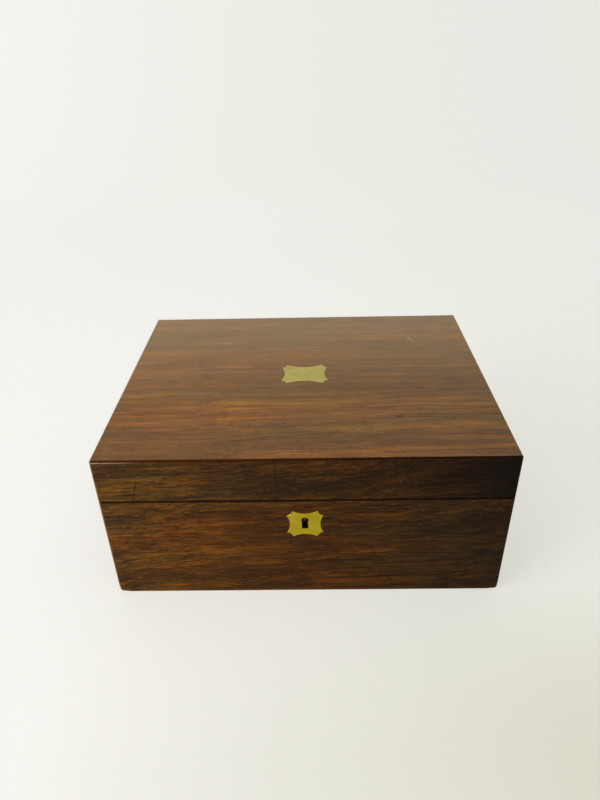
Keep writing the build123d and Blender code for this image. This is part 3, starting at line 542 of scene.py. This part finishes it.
def baize(name, tone):
    """Felted wool cloth under the box."""
    graph = Graph(name)
    fibre = graph.noise(graph.stretched(1500), 4, 0.75, 1.5)
    patch = graph.noise(graph.stretched(35), 3)
    colour = graph.mix(graph.level(patch, 0.3, 0.7), scaled(tone, 0.75), scaled(tone, 1.2))
    colour = graph.mix(graph.level(fibre, 0.4, 0.7, 0.0, 0.5), colour, scaled(tone, 0.5))
    return graph.finish(colour, 0.95, graph.bump(fibre, 0.3 * MM, 0.9), specular_ior_level=0.1,
                        sheen_weight=0.4, sheen_roughness=0.6)


# The top's tone is paler than the tone the fronts and sides share, though all are one veneer: painted light
# on the top, painted shade on the rest
TOP_TONE = (0.240, 0.100, 0.019)
VENEER_TONE = (0.160, 0.065, 0.0150)
BOARD_TONE = (0.27, 0.115, 0.042)
LINING_TONE = (0.24, 0.092, 0.030)
PLATE_TONE = (0.57, 0.50, 0.15)
ESCUTCHEON_TONE = (0.47, 0.365, 0.022)

materials = {
    "veneer_top": polished_veneer(
        "veneer_top_painted_sheen", "X", TOP_TONE, 2.0, right_shade=0.68, shine=0.34, contrast=0.68, slope=0.02,
        fade=0.58, marks=TOP_MARKS),
    "veneer_lid_front": polished_veneer(
        "veneer_lid_front", "X", VENEER_TONE, 3.0, right_shade=0.04, shine=0.06, slope=0.08,
        cracks=LID_CRACKS),
    "veneer_x": polished_veneer(
        "veneer_along_x", "X", VENEER_TONE, 1.0, right_shade=0.27, shine=0.06, slope=0.08),
    "veneer_y": polished_veneer("veneer_along_y", "Y", VENEER_TONE, 4.0, right_shade=0.6, shine=0.15),
    "board_keyhole": plain_wood("board_with_keyhole", "X", BOARD_TONE, 0.55, 2.0, keyhole=True),
    "board_x": plain_wood("board_along_x", "X", BOARD_TONE, 0.55, 2.0),
    "board_y": plain_wood("board_along_y", "Y", BOARD_TONE, 0.55, 3.0),
    "lining_x": plain_wood("lining_along_x", "X", LINING_TONE, 0.36, 5.0),
    "lining_y": plain_wood("lining_along_y", "Y", LINING_TONE, 0.36, 6.0),
    "knob": plain_wood("turned_ebony", "Z", (0.035, 0.022, 0.016), 0.28, 7.0),
    "plate": old_brass("lid_plate_brass", PLATE_TONE, 0.36, 1.0),
    "escutcheon": old_brass("escutcheon_brass", ESCUTCHEON_TONE, 0.34, 5.0),
    # The lock case and the drill pin are nearly black: partly tarnish, partly painted shade deep inside the
    # keyhole
    "inside_lock": old_brass("tarnished_and_shaded_lock_case", (0.035, 0.022, 0.010), 0.7, 6.0),
    "drill_pin": old_brass("tarnished_and_shaded_drill_pin", (0.11, 0.05, 0.04), 0.5, 8.0),
    "hinge": old_brass("hinge_brass", (0.58, 0.42, 0.15), 0.40, 2.0),
    "lock": old_brass("lock_brass", (0.64, 0.48, 0.17), 0.38, 3.0),
    "screw": old_brass("screw_brass", (0.55, 0.40, 0.14), 0.36, 4.0),
    "steel": filed_steel("lock_steel", 1.0),
    "velvet": velvet("burgundy_velvet", (0.11, 0.008, 0.014), 1.0),
    "silk": ribbed_silk("burgundy_silk", (0.20, 0.018, 0.028), 1.0),
    "baize": baize("green_baize", (0.03, 0.09, 0.045)),
}


def paint(piece, material):
    """Give a piece one material."""
    piece.data.materials.clear()
    piece.data.materials.append(material)


def dress_nodes():
    """Choose each CAD node's material from its slot and the way that its grain runs."""
    special = {
        "lid_top_veneer": "veneer_top", "lid_front_veneer": "veneer_lid_front",
        "lid_plate": "plate", "escutcheon": "escutcheon", "lock_case": "inside_lock",
        "lock_drill_pin": "drill_pin", "base_front_board": "board_keyhole",
    }
    plain = {
        "knob_wood": "knob", "hinge_brass": "hinge", "lock_brass": "lock", "screw_brass": "screw",
        "lock_steel": "steel", "velvet": "velvet", "silk": "silk", "baize": "baize",
    }
    grained = {"veneer": "veneer", "carcase_wood": "board", "lining_wood": "lining"}
    for entry in frame["record"]["subparts"]:
        name, slot = entry["node"], entry["material_slot"]
        choice = special.get(name) or plain.get(slot)
        if not choice:
            low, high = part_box(name)
            way = "x" if high.x - low.x >= high.y - low.y else "y"
            choice = f"{grained[slot]}_{way}"
        paint(nodes[name], materials[choice])


dress_nodes()


# Soft pieces


def add_object(name, data):
    """Put an object with its data into the scene."""
    made = bpy.data.objects.new(name, data)
    bpy.context.collection.objects.link(made)
    return made


def add_piece(name, corners, faces, material):
    """Make a smooth mesh object out of corners and faces."""
    mesh = bpy.data.meshes.new(name)
    mesh.from_pydata([tuple(corner) for corner in corners], [], faces)
    mesh.validate()
    mesh.polygons.foreach_set("use_smooth", [True] * len(mesh.polygons))
    piece = add_object(name, mesh)
    paint(piece, material)
    return piece


def place_piece(piece, body, slot, *stands_for):
    """Let a piece ride on its body in place of CAD nodes, which it hides; slot is not used."""
    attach(piece, body)
    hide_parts(*stands_for)


def islands(node):
    """Lowest and highest corner of each separate solid in a CAD node."""
    mesh = bmesh.new()
    mesh.from_mesh(nodes[node].data)
    bmesh.ops.remove_doubles(mesh, verts=mesh.verts, dist=0.001 * MM)
    left = set(mesh.verts)
    found = []
    while left:
        group = [left.pop()]
        for vert in group:
            for edge in vert.link_edges:
                other = edge.other_vert(vert)
                if other in left:
                    left.remove(other)
                    group.append(other)
        places = [nodes[node].matrix_world @ vert.co for vert in group]
        found.append(tuple(
            Vector([pick(place[axis] for place in places) for axis in range(3)]) for pick in (min, max)
        ))
    mesh.free()
    return sorted(found, key=lambda pair: tuple(pair[0]))


def stations(low, high, edge, step):
    """Places from low to high: close together near both ends, and even between."""
    ease = [edge * share for share in (0.0, 0.04, 0.14, 0.3, 0.52, 0.76)]
    inner = high - low - 2 * edge
    count = max(2, round(inner / step))
    middle = [low + edge + inner * index / count for index in range(count + 1)]
    return [low + near for near in ease] + middle + [high - near for near in reversed(ease)]


def wander(x, y, scale, seed):
    """Smooth wandering value from -1 to 1 over a plane."""
    return noise.noise(Vector((x * scale, y * scale, seed * 7.3)))


def rounded(near):
    """Height of a quarter circle, from 0 at its foot to 1 at a nearness of 1 and beyond."""
    return math.sqrt(max(0.0, 1 - (1 - min(1.0, near)) ** 2))


def grid_faces(rows, columns):
    """Faces of a sheet whose corners are laid row by row."""
    firsts = [j * columns + i for j in range(rows - 1) for i in range(columns - 1)]
    return [(first, first + 1, first + columns + 1, first + columns) for first in firsts]


def grid_rim(rows, columns):
    """Corners round such a sheet, in order."""
    return (
        list(range(columns))
        + [j * columns + columns - 1 for j in range(1, rows)]
        + [(rows - 1) * columns + i for i in range(columns - 2, -1, -1)]
        + [j * columns for j in range(rows - 2, 0, -1)]
    )


def slab(name, low, high, material, upper, edge, step, corner, pull=0.0):
    """Closed padded form on a flat underside: upper gives how far it fills its box, 0 to 1.

    corner rounds the outline's corners, and pull draws the sides in between them.
    """
    across = stations(low.x, high.x, edge, step)
    along = stations(low.y, high.y, edge, step)
    middle_x, middle_y = (low.x + high.x) / 2, (low.y + high.y) / 2
    half_x, half_y = (high.x - low.x) / 2, (high.y - low.y) / 2

    def outline(x, y):
        u, v = (x - middle_x) / half_x, (y - middle_y) / half_y
        x -= pull * u * (1 - v * v)
        y -= pull * v * (1 - u * u)
        over_x = abs(x - middle_x) - (half_x - corner)
        over_y = abs(y - middle_y) - (half_y - corner)
        if over_x > 0 and over_y > 0:
            shrink = max(over_x, over_y) / math.hypot(over_x, over_y)
            x = middle_x + math.copysign(half_x - corner + over_x * shrink, x - middle_x)
            y = middle_y + math.copysign(half_y - corner + over_y * shrink, y - middle_y)
        return x, y

    top, bottom = [], []
    for y in along:
        for x in across:
            near = min(x - low.x, high.x - x, y - low.y, high.y - y)
            depth = rounded(near / edge) * upper(x, y)
            top.append((*outline(x, y), low.z + (high.z - low.z) * depth))
            bottom.append((*outline(x, y), low.z))
    rows, columns = len(along), len(across)
    rim = set(grid_rim(rows, columns))
    inner = [index for index in range(len(bottom)) if index not in rim]
    under = {index: len(top) + place for place, index in enumerate(inner)}
    faces = grid_faces(rows, columns)
    faces += [tuple(under.get(index, index) for index in reversed(ring)) for ring in faces]
    return add_piece(name, top + [bottom[index] for index in inner], faces, material)


def floor_pad(name, low, high, seed):
    """Thin velvet pad over a card, a little uneven, with rounded edges."""
    def filled(x, y):
        return 0.90 + 0.10 * wander(x, y, 22, seed)

    return slab(
        name, low, high, materials["velvet"], filled, edge=1.6 * MM, step=6 * MM, corner=1.2 * MM)


def add_floor_pads():
    """Pads on the floors of the well and of the tray's compartments."""
    pad = floor_pad("well_pad", *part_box("well_floor_pad"), 1)
    place_piece(pad, "base", "velvet", "well_floor_pad")
    for index, (low, high) in enumerate(islands("tray_floor_pads")):
        pad = floor_pad(f"compartment_pad_{index + 1}", low, high, index + 2)
        place_piece(pad, "tray", "velvet", "tray_floor_pads")


def add_ring_roll():
    """Velvet rolls side by side, with deep slits between them that grip rings."""
    low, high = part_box("ring_roll")
    count = 8
    end = 5 * MM
    pitch = (high.y - low.y) / count
    rise = high.z - low.z

    def filled(x, y):
        place = (y - low.y) / pitch
        index = min(count - 1, int(place))
        off = 2 * (place - index) - 1
        hump = math.sqrt(max(0.0, 1 - off * off))
        crease = 0.030 * abs(wander(x, index * 3.1, 95, index)) * hump
        sag = 0.02 * (1 + wander(x, index * 5.0, 14, 3))
        return 0.42 + 0.58 * hump - crease - sag

    across = stations(low.x, high.x, end, 3 * MM)
    shares = (0.0, 0.02, 0.06, 0.12, 0.2, 0.3, 0.42, 0.58, 0.7, 0.8, 0.88, 0.94, 0.98)
    along = [low.y + pitch * (index + share) for index in range(count) for share in shares]
    along.append(high.y)
    corners = []
    for y in along:
        for x in across:
            ends = rounded(min(x - low.x, high.x - x) / end)
            corners.append((x, y, low.z + rise * filled(x, y) * (0.55 + 0.45 * ends)))
    bottom = len(corners)
    corners += [(x, y, low.z) for y in along for x in across]
    faces = grid_faces(len(along), len(across))
    faces += [tuple(bottom + index for index in reversed(ring)) for ring in faces]
    rim = grid_rim(len(along), len(across))
    faces += [(after, here, bottom + here, bottom + after) for here, after in zip(rim, rim[1:] + rim[:1])]
    roll = add_piece("ring_rolls", corners, faces, materials["velvet"])
    place_piece(roll, "tray", "velvet", "ring_roll")


def add_lid_border():
    """Four gathered silk strips round the lid pad, mitred at the corners."""
    low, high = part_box("lid_border")
    pad_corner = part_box("lid_pad")[1]
    thick = high.z - low.z
    tucked = 0.4 * MM
    pleat, stitch = 4.2 * MM, 1.1 * MM
    sides = {
        "front": ((-1, -1), (1, -1)), "right": ((1, -1), (1, 1)),
        "back": ((1, 1), (-1, 1)), "left": ((-1, 1), (-1, -1)),
    }
    profile_steps = 12
    for seed, (name, ends) in enumerate(sides.items()):
        outer = [Vector((high.x * x, high.y * y, 0)) for x, y in ends]
        inner = [Vector(((pad_corner.x - tucked) * x, (pad_corner.y - tucked) * y, 0)) for x, y in ends]
        length = (outer[1] - outer[0]).length
        steps = round(length / stitch)
        corners, faces = [], []
        for step in range(steps + 1):
            share = step / steps
            outside = outer[0].lerp(outer[1], share)
            inside = inner[0].lerp(inner[1], share)
            run = share * length
            gather = math.sin(run * 2 * math.pi / pleat + 2.4 * wander(run, seed, 30, seed))
            ridge = 0.5 + 0.5 * gather
            for part in range(profile_steps + 1):
                turn = math.pi * part / profile_steps
                bulge = math.sin(turn) ** 0.7
                place = outside.lerp(inside, 0.5 - 0.5 * math.cos(turn))
                depth = bulge * (0.84 + 0.16 * ridge * bulge)
                corners.append((place.x, place.y, high.z - thick * depth))
            middle = outside.lerp(inside, 0.5)
            corners.append((middle.x, middle.y, high.z))
        ring_size = profile_steps + 2
        for start in range(0, steps * ring_size, ring_size):
            for part in range(ring_size):
                first, second = start + part, start + (part + 1) % ring_size
                faces.append((first, second, second + ring_size, first + ring_size))
        faces.append(tuple(range(ring_size))[::-1])
        faces.append(tuple(steps * ring_size + index for index in range(ring_size)))
        strip = add_piece(f"silk_border_{name}", corners, faces, materials["silk"])
        place_piece(strip, "lid", "silk", "lid_border")


def revolve(name, line, middle, around, material, pleat=None):
    """Turned form about an upright axis; the line gives its radius and level from bottom to top.

    pleat gives how much a radius grows at a share of the line and a turn about the axis.
    """
    corners, faces, rings = [], [], []
    for index, (radius, level) in enumerate(line):
        rings.append(len(corners))
        for step in range(around if radius > 0 else 1):
            turn = 2 * math.pi * step / around
            reach = radius * pleat(index / (len(line) - 1), turn) if pleat else radius
            corners.append((middle.x + reach * math.cos(turn), middle.y + reach * math.sin(turn), level))
    for index in range(len(line) - 1):
        here, above = rings[index], rings[index + 1]
        for step in range(around):
            after = (step + 1) % around
            if line[index][0] == 0:
                faces.append((here, above + after, above + step))
            elif line[index + 1][0] == 0:
                faces.append((here + step, here + after, above))
            else:
                faces.append((here + step, here + after, above + after, above + step))
    if line[-1][0] > 0:
        faces.append(tuple(rings[-1] + step for step in range(around)))
    return add_piece(name, corners, faces, material)


def add_lid_buttons():
    """Velvet-covered domed buttons, gathered a little towards their rims."""
    rings, around = 6, 24
    for index, (low, high) in enumerate(islands("lid_pad_buttons")):
        radius = 0.97 * (high.x - low.x) / 2

        def pleat(share, turn):
            return 1 + 0.02 * math.sin(9 * turn + index) * share ** 2

        tilts = [math.pi / 2 * ring / rings for ring in range(rings + 1)]
        line = [(radius * math.sin(tilt), high.z - (high.z - low.z) * math.cos(tilt)) for tilt in tilts]
        button = revolve(
            f"lid_button_{index + 1}", line, (low + high) / 2, around, materials["velvet"], pleat)
        place_piece(button, "lid", "velvet", "lid_pad_buttons")


def to_nearest(x, y, middles):
    """Distance over the plane to the nearest middle of a button."""
    return min(math.hypot(x - middle.x, y - middle.y) for middle in middles)


def tufted_depth(x, y, middles, spacing):
    """How far the lid pad fills out at a place, drawn in at its buttons and along its pleats."""
    dip_reach, pleat_reach = 8.5 * MM, 1.7 * MM
    dip = math.exp(-((to_nearest(x, y, middles) / dip_reach) ** 1.6))
    pleat = 0.0
    for middle in middles:
        for along, off in ((x - middle.x, y - middle.y), (y - middle.y, x - middle.x)):
            if abs(along) < spacing:
                fade = 1 - 0.55 * min(1.0, abs(along) / (spacing / 2))
                pleat = max(pleat, fade * math.exp(-((off / pleat_reach) ** 2)))
    soft = 0.03 * wander(x, y, 60, 4)
    return max(0.0, 0.80 - 0.42 * dip - 0.26 * pleat * (1 - dip) + soft)


def add_lid_pad():
    """Buttoned velvet pad under the lid's ceiling, puffed up by cloth between its buttons."""
    low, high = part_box("lid_pad")
    middles = [(least + most) / 2 for least, most in islands("lid_pad_buttons")]
    gaps = [abs(first.x - second.x) for first in middles for second in middles]
    spacing = min(gap for gap in gaps if gap > MM)
    pad = slab(
        "lid_pad_velvet", low, high, materials["velvet"],
        lambda x, y: tufted_depth(x, y, middles, spacing),
        edge=7 * MM, step=2.1 * MM, corner=5 * MM, pull=0.4 * MM,
    )
    # built facing up and now turned over, as the pad hangs with its face down
    for vert in pad.data.vertices:
        vert.co.z = low.z + high.z - vert.co.z
    pad.data.flip_normals()
    puff_up(pad, low, high, middles)
    place_piece(pad, "lid", "velvet", "lid_pad")


def hold_for_cloth(pad, low, high, middles):
    """Hold a pad's back, its rim and the places of its buttons, and set its cloth up."""
    button_hold, rim_hold = 3.4 * MM, 2.5 * MM
    back = high.z - 0.25 * (high.z - low.z)
    held = pad.vertex_groups.new(name="held")
    for vert in pad.data.vertices:
        x, y, z = vert.co
        from_rim = min(x - low.x, high.x - x, y - low.y, high.y - y)
        if z > back or to_nearest(x, y, middles) < button_hold or from_rim < rim_hold:
            held.add([vert.index], 1.0, "REPLACE")
    modifier = pad.modifiers.new("cloth", "CLOTH")
    settings = modifier.settings
    settings.quality = 6
    settings.mass = 0.3
    settings.tension_stiffness = settings.compression_stiffness = 18
    settings.bending_stiffness = 0.4
    settings.use_pressure = True
    settings.uniform_pressure_force = 4
    settings.vertex_group_mass = "held"
    settings.shrink_min = -0.04
    settings.effector_weights.gravity = 0
    modifier.collision_settings.use_collision = False
    return modifier


def puff_up(pad, low, high, middles):
    """Blow up a pad with cloth, held at its back and at its buttons, and keep it in its box."""
    frames, furthest = 20, 3.0 * MM
    modifier = hold_for_cloth(pad, low, high, middles)
    modifier.point_cache.frame_start = 1
    modifier.point_cache.frame_end = frames
    scene = bpy.context.scene
    for step in range(1, frames + 1):
        scene.frame_set(step)
    before = [vert.co.copy() for vert in pad.data.vertices]
    puffed = pad.evaluated_get(bpy.context.evaluated_depsgraph_get())
    after = [vert.co.copy() for vert in puffed.to_mesh().vertices]
    puffed.to_mesh_clear()
    pad.modifiers.remove(modifier)
    scene.frame_set(1)
    places = []
    for old, new in zip(before, after):
        step = new - old
        if step.length > furthest:
            step *= furthest / step.length
        places.append(old + step)
    squeeze = min(1.0, (high.z - low.z) / max(high.z - place.z for place in places))
    for vert, place in zip(pad.data.vertices, places):
        place.z = high.z - (high.z - place.z) * squeeze
        vert.co = [min(max(value, least), most) for value, least, most in zip(place, low, high)]
    pad.vertex_groups.clear()


def add_baize():
    """Felt glued under the box, a little uneven in thickness."""
    low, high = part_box("base_baize")

    def filled(x, y):
        return 0.96 + 0.04 * wander(x, y, 300, 9)

    felt = slab(
        "baize_felt", low, high, materials["baize"], filled, edge=0.4 * MM, step=8 * MM, corner=4 * MM)
    place_piece(felt, "base", "baize", "base_baize")


add_floor_pads()
add_ring_roll()
add_lid_border()
add_lid_buttons()
add_lid_pad()
add_baize()


# Worn corners and turned knobs


def wear_radius(place):
    """Radius that a corner has worn to at a place: most at the foot, and more on the left."""
    from_corner = max(HALF_WIDTH - abs(place.x), HALF_DEPTH - abs(place.y))
    at_corner, foot, head = (
        math.exp(-((away / CORNER_WEAR_REACH) ** 2))
        for away in (from_corner, place.z - SKIN_LOW.z, TOP - place.z)
    )
    side = 1.0 if place.x < 0 else 0.85
    uneven = 0.12 * wander(place.x - place.y, place.z, 70, 5)
    corner_wear = at_corner * side * max(FOOT_WEAR * foot, HEAD_WEAR * head, UPRIGHT_WEAR)
    return max(EDGE_WEAR, corner_wear) * (1 + uneven)


def worn_place(place):
    """The place, or the nearest one on the box with its edges and corners worn round."""
    radius = wear_radius(place)
    inner = Vector([
        min(max(value, least + radius), most - radius)
        for value, least, most in zip(place, SKIN_LOW, SKIN_HIGH)
    ])
    away = place - inner
    if away.length <= radius:
        return place
    return inner + away * (radius / away.length)


def near_an_edge(place):
    """Whether a place lies where the box's worn edges are round."""
    gaps = sorted(
        min(value - least, most - value) for value, least, most in zip(place, SKIN_LOW, SKIN_HIGH)
    )
    return gaps[1] < 1.2 * FOOT_WEAR


def add_worn_veneer(node, body):
    """Copy of a veneer whose outer edges and corners are rounded by wear."""
    mesh = bmesh.new()
    mesh.from_mesh(nodes[node].data)
    bmesh.ops.remove_doubles(mesh, verts=mesh.verts, dist=0.001 * MM)
    # cuts beside the edges, so that the rounding has corners to move
    depths = [depth * MM for depth in (0.2, 0.5, 0.9, 1.4, 2.0, 2.8, 4.0, 6.0, 9.0)]
    for axis, (least, most) in enumerate(zip(SKIN_LOW, SKIN_HIGH)):
        facing = Vector((0, 0, 0))
        facing[axis] = 1.0
        for depth in depths:
            for level in (least + depth, most - depth):
                everything = mesh.verts[:] + mesh.edges[:] + mesh.faces[:]
                bmesh.ops.bisect_plane(
                    mesh, geom=everything, dist=0.001 * MM, plane_co=facing * level, plane_no=facing)
    for vert in mesh.verts:
        vert.co = worn_place(vert.co)
    bmesh.ops.recalc_face_normals(mesh, faces=mesh.faces)
    made = bpy.data.meshes.new(f"worn_{node}")
    mesh.to_mesh(made)
    mesh.free()
    # the CAD mesh's own normals don't fit the worn form
    if "custom_normal" in made.attributes:
        made.attributes.remove(made.attributes["custom_normal"])
    made.polygons.foreach_set("use_smooth", [near_an_edge(face.center) for face in made.polygons])
    made.set_sharp_from_angle(angle=math.radians(32))
    piece = add_object(f"worn_{node}", made)
    paint(piece, nodes[node].data.materials[0])
    place_piece(piece, body, "veneer", node)


def add_turned_knob(node, cover, body):
    """Smooth turned knob: a ball over a hollow neck and a spread foot."""
    low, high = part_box(node)
    foot_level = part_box(cover)[1].z
    foot, neck, ball, tenon = 3.6 * MM, 1.9 * MM, 3.4 * MM, 1.5 * MM
    bead, bevel = 0.5 * MM, 0.3 * MM
    shoulder = foot - 0.35 * MM
    cove_low, cove_high = foot_level + bead + bevel, high.z - 1.82 * ball
    cove_steps, ball_steps, around = 8, 18, 48
    line = [(0.0, low.z), (tenon, low.z), (tenon, foot_level), (foot, foot_level),
            (foot, foot_level + bead), (shoulder, cove_low)]
    for step in range(1, cove_steps + 1):
        turn = step / cove_steps * math.pi / 2
        line.append((shoulder - (shoulder - neck) * math.sin(turn),
                     cove_low + (cove_high - cove_low) * (1 - math.cos(turn))))
    first = math.asin(neck / ball)
    for step in range(1, ball_steps + 1):
        turn = first + (math.pi - first) * step / ball_steps
        line.append((ball * math.sin(turn), high.z - ball - ball * math.cos(turn)))
    line[-1] = (0.0, high.z)
    knob = revolve(f"turned_{node}", line, (low + high) / 2, around, materials["knob"])
    knob.data.set_sharp_from_angle(angle=math.radians(50))
    place_piece(knob, body, "knob_wood", node)


def body_of_node(node):
    """Name of the body that a CAD node belongs to."""
    bodies = frame["record"]["behaviour"]["bodies"]
    return next(name for name, members in bodies.items() if node in members)


for entry in frame["record"]["subparts"]:
    if entry["material_slot"] == "veneer":
        add_worn_veneer(entry["node"], body_of_node(entry["node"]))
for side in ("left", "right"):
    add_turned_knob(f"cover_{side}_knob", f"cover_{side}", f"{side}_cover")


# Camera


def add_camera():
    """Camera at the photograph's place and angle."""
    data = bpy.data.cameras.new("camera")
    data.lens = CAMERA_LENS
    data.sensor_width = 36.0
    data.clip_start = 0.01
    data.clip_end = 50.0
    camera = add_object("camera", data)
    about_x, about_y, about_z = CAMERA_TILT
    to_camera = (
        Matrix.Rotation(about_z, 3, "Z")
        @ Matrix.Rotation(about_y, 3, "Y")
        @ Matrix.Rotation(about_x, 3, "X")
    )
    camera.matrix_world = Matrix.Translation(CAMERA_PLACE) @ to_camera.transposed().to_4x4()
    bpy.context.scene.camera = camera


add_camera()


# Stage and light


BACKDROP = (0.88, 0.87, 0.83)


def cove_paint():
    """Paint that glows to the camera and fades with distance into the surroundings' colour, with painted
    shade on the floor towards the right and the camera, a painted shadow in front of the box on its right,
    and painted light and shade across the wall.
    """
    graph = Graph("cove_paint")
    rays = graph.node("ShaderNodeLightPath").outputs
    to_camera = rays["Is Camera Ray"]
    x, y = graph.axis("X"), graph.axis("Y")
    away = graph.length(graph.object_place)
    far = graph.level(away, 0.6, 1.5)

    # Painted shade on the floor: the glow dims towards the right and towards the camera
    floor_shade = graph.times(graph.level(x, -0.25, 0.45), graph.level(y, -0.35, 0.5, 1.0, 0.25))
    glow_colour = graph.mix(floor_shade, (1.0, 1.0, 0.955), (0.87, 0.88, 0.76))
    # Painted shadow: a darker, yellower patch on the floor in front of the box, to its right
    front_right_shadow = graph.times(graph.fall(y, -0.26, -0.09), graph.evenly(x, -0.18, 0.17))
    glow_colour = graph.mix(front_right_shadow, glow_colour, (0.68, 0.68, 0.54))
    # Painted light and shade across the wall: paler left of the middle, darker right of it
    wall_colour = graph.ramp(
        graph.evenly(x, -3.0, 3.0),
        (0.0, BACKDROP),
        (0.317, (0.900, 0.913, 0.860)),
        (0.5, (0.845, 0.838, 0.783)),
        (0.633, (0.815, 0.807, 0.760)),
        (0.683, (0.840, 0.830, 0.745)),
        (1.0, BACKDROP),
    )
    wall_colour = graph.mix(graph.level(away, 2.8, 4.6), wall_colour, BACKDROP)
    glow_colour = graph.mix(far, glow_colour, wall_colour)
    glow = graph.times(to_camera, graph.evenly(far, 0, 1, 0.56, 1.0))

    colour = graph.mix(rays["Is Glossy Ray"], (0.35, 0.345, 0.33), (0.83, 0.82, 0.785))
    colour = graph.mix(graph.times(to_camera, far), colour, (0.0, 0.0, 0.0))
    return graph.finish(colour, 0.9, specular_ior_level=0.0, emission_strength=glow,
                        emission_color=glow_colour)


def add_cove():
    """Pale floor that curves up into a wall behind, and that gives back less stray light."""
    half_span, front, wall, bend, height = 5.0, -5.0, 2.2, 1.0, 4.0
    steps = 24
    line = [(front, 0.0), (wall - bend, 0.0)]
    for step in range(1, steps + 1):
        turn = step / steps * math.pi / 2
        line.append((wall - bend + bend * math.sin(turn), bend - bend * math.cos(turn)))
    line.append((wall, height))
    corners = [(x, y, z) for y, z in line for x in (-half_span, half_span)]
    cove = add_piece("cove", corners, grid_faces(len(line), 2), cove_paint())


def add_world():
    """Pale surroundings: bright to the camera and in reflections, dimmer as light."""
    graph = Graph("world", bpy.data.worlds)
    graph.tree.nodes.clear()
    rays = graph.node("ShaderNodeLightPath").outputs
    either = graph.math("MAXIMUM", rays["Is Camera Ray"], rays["Is Glossy Ray"])
    lit, seen = (
        graph.node("ShaderNodeBackground", {"Color": colour, "Strength": strength}).outputs[0]
        for colour, strength in (((1.0, 0.98, 0.95), 0.4), (BACKDROP, 1.0))
    )
    both = graph.node("ShaderNodeMixShader", {"Fac": either, 1: lit, 2: seen}).outputs[0]
    graph.node("ShaderNodeOutputWorld", {"Surface": both})
    bpy.context.scene.world = graph.owner


def add_lamp(name, place, target, size, watts, colour):
    """Large soft square lamp at a place, facing a target."""
    data = bpy.data.lights.new(name, "AREA")
    data.shape = "SQUARE"
    data.size = size
    data.energy = watts
    data.color = colour
    lamp = add_object(name, data)
    lamp.location = place
    lamp.rotation_mode = "QUATERNION"
    lamp.rotation_quaternion = (Vector(target) - Vector(place)).to_track_quat("-Z", "Y")


add_cove()
add_world()
add_lamp("window", (-1.4, -0.9, 0.8), (0, 0, 0.08), size=1.0, watts=18, colour=(1.0, 0.98, 0.95))
add_lamp("ceiling", (-0.1, 0.2, 2.3), (0, 0.2, 0.0), size=3.0, watts=34, colour=(1.0, 0.99, 0.96))

bpy.context.scene.view_settings.view_transform = "Standard"
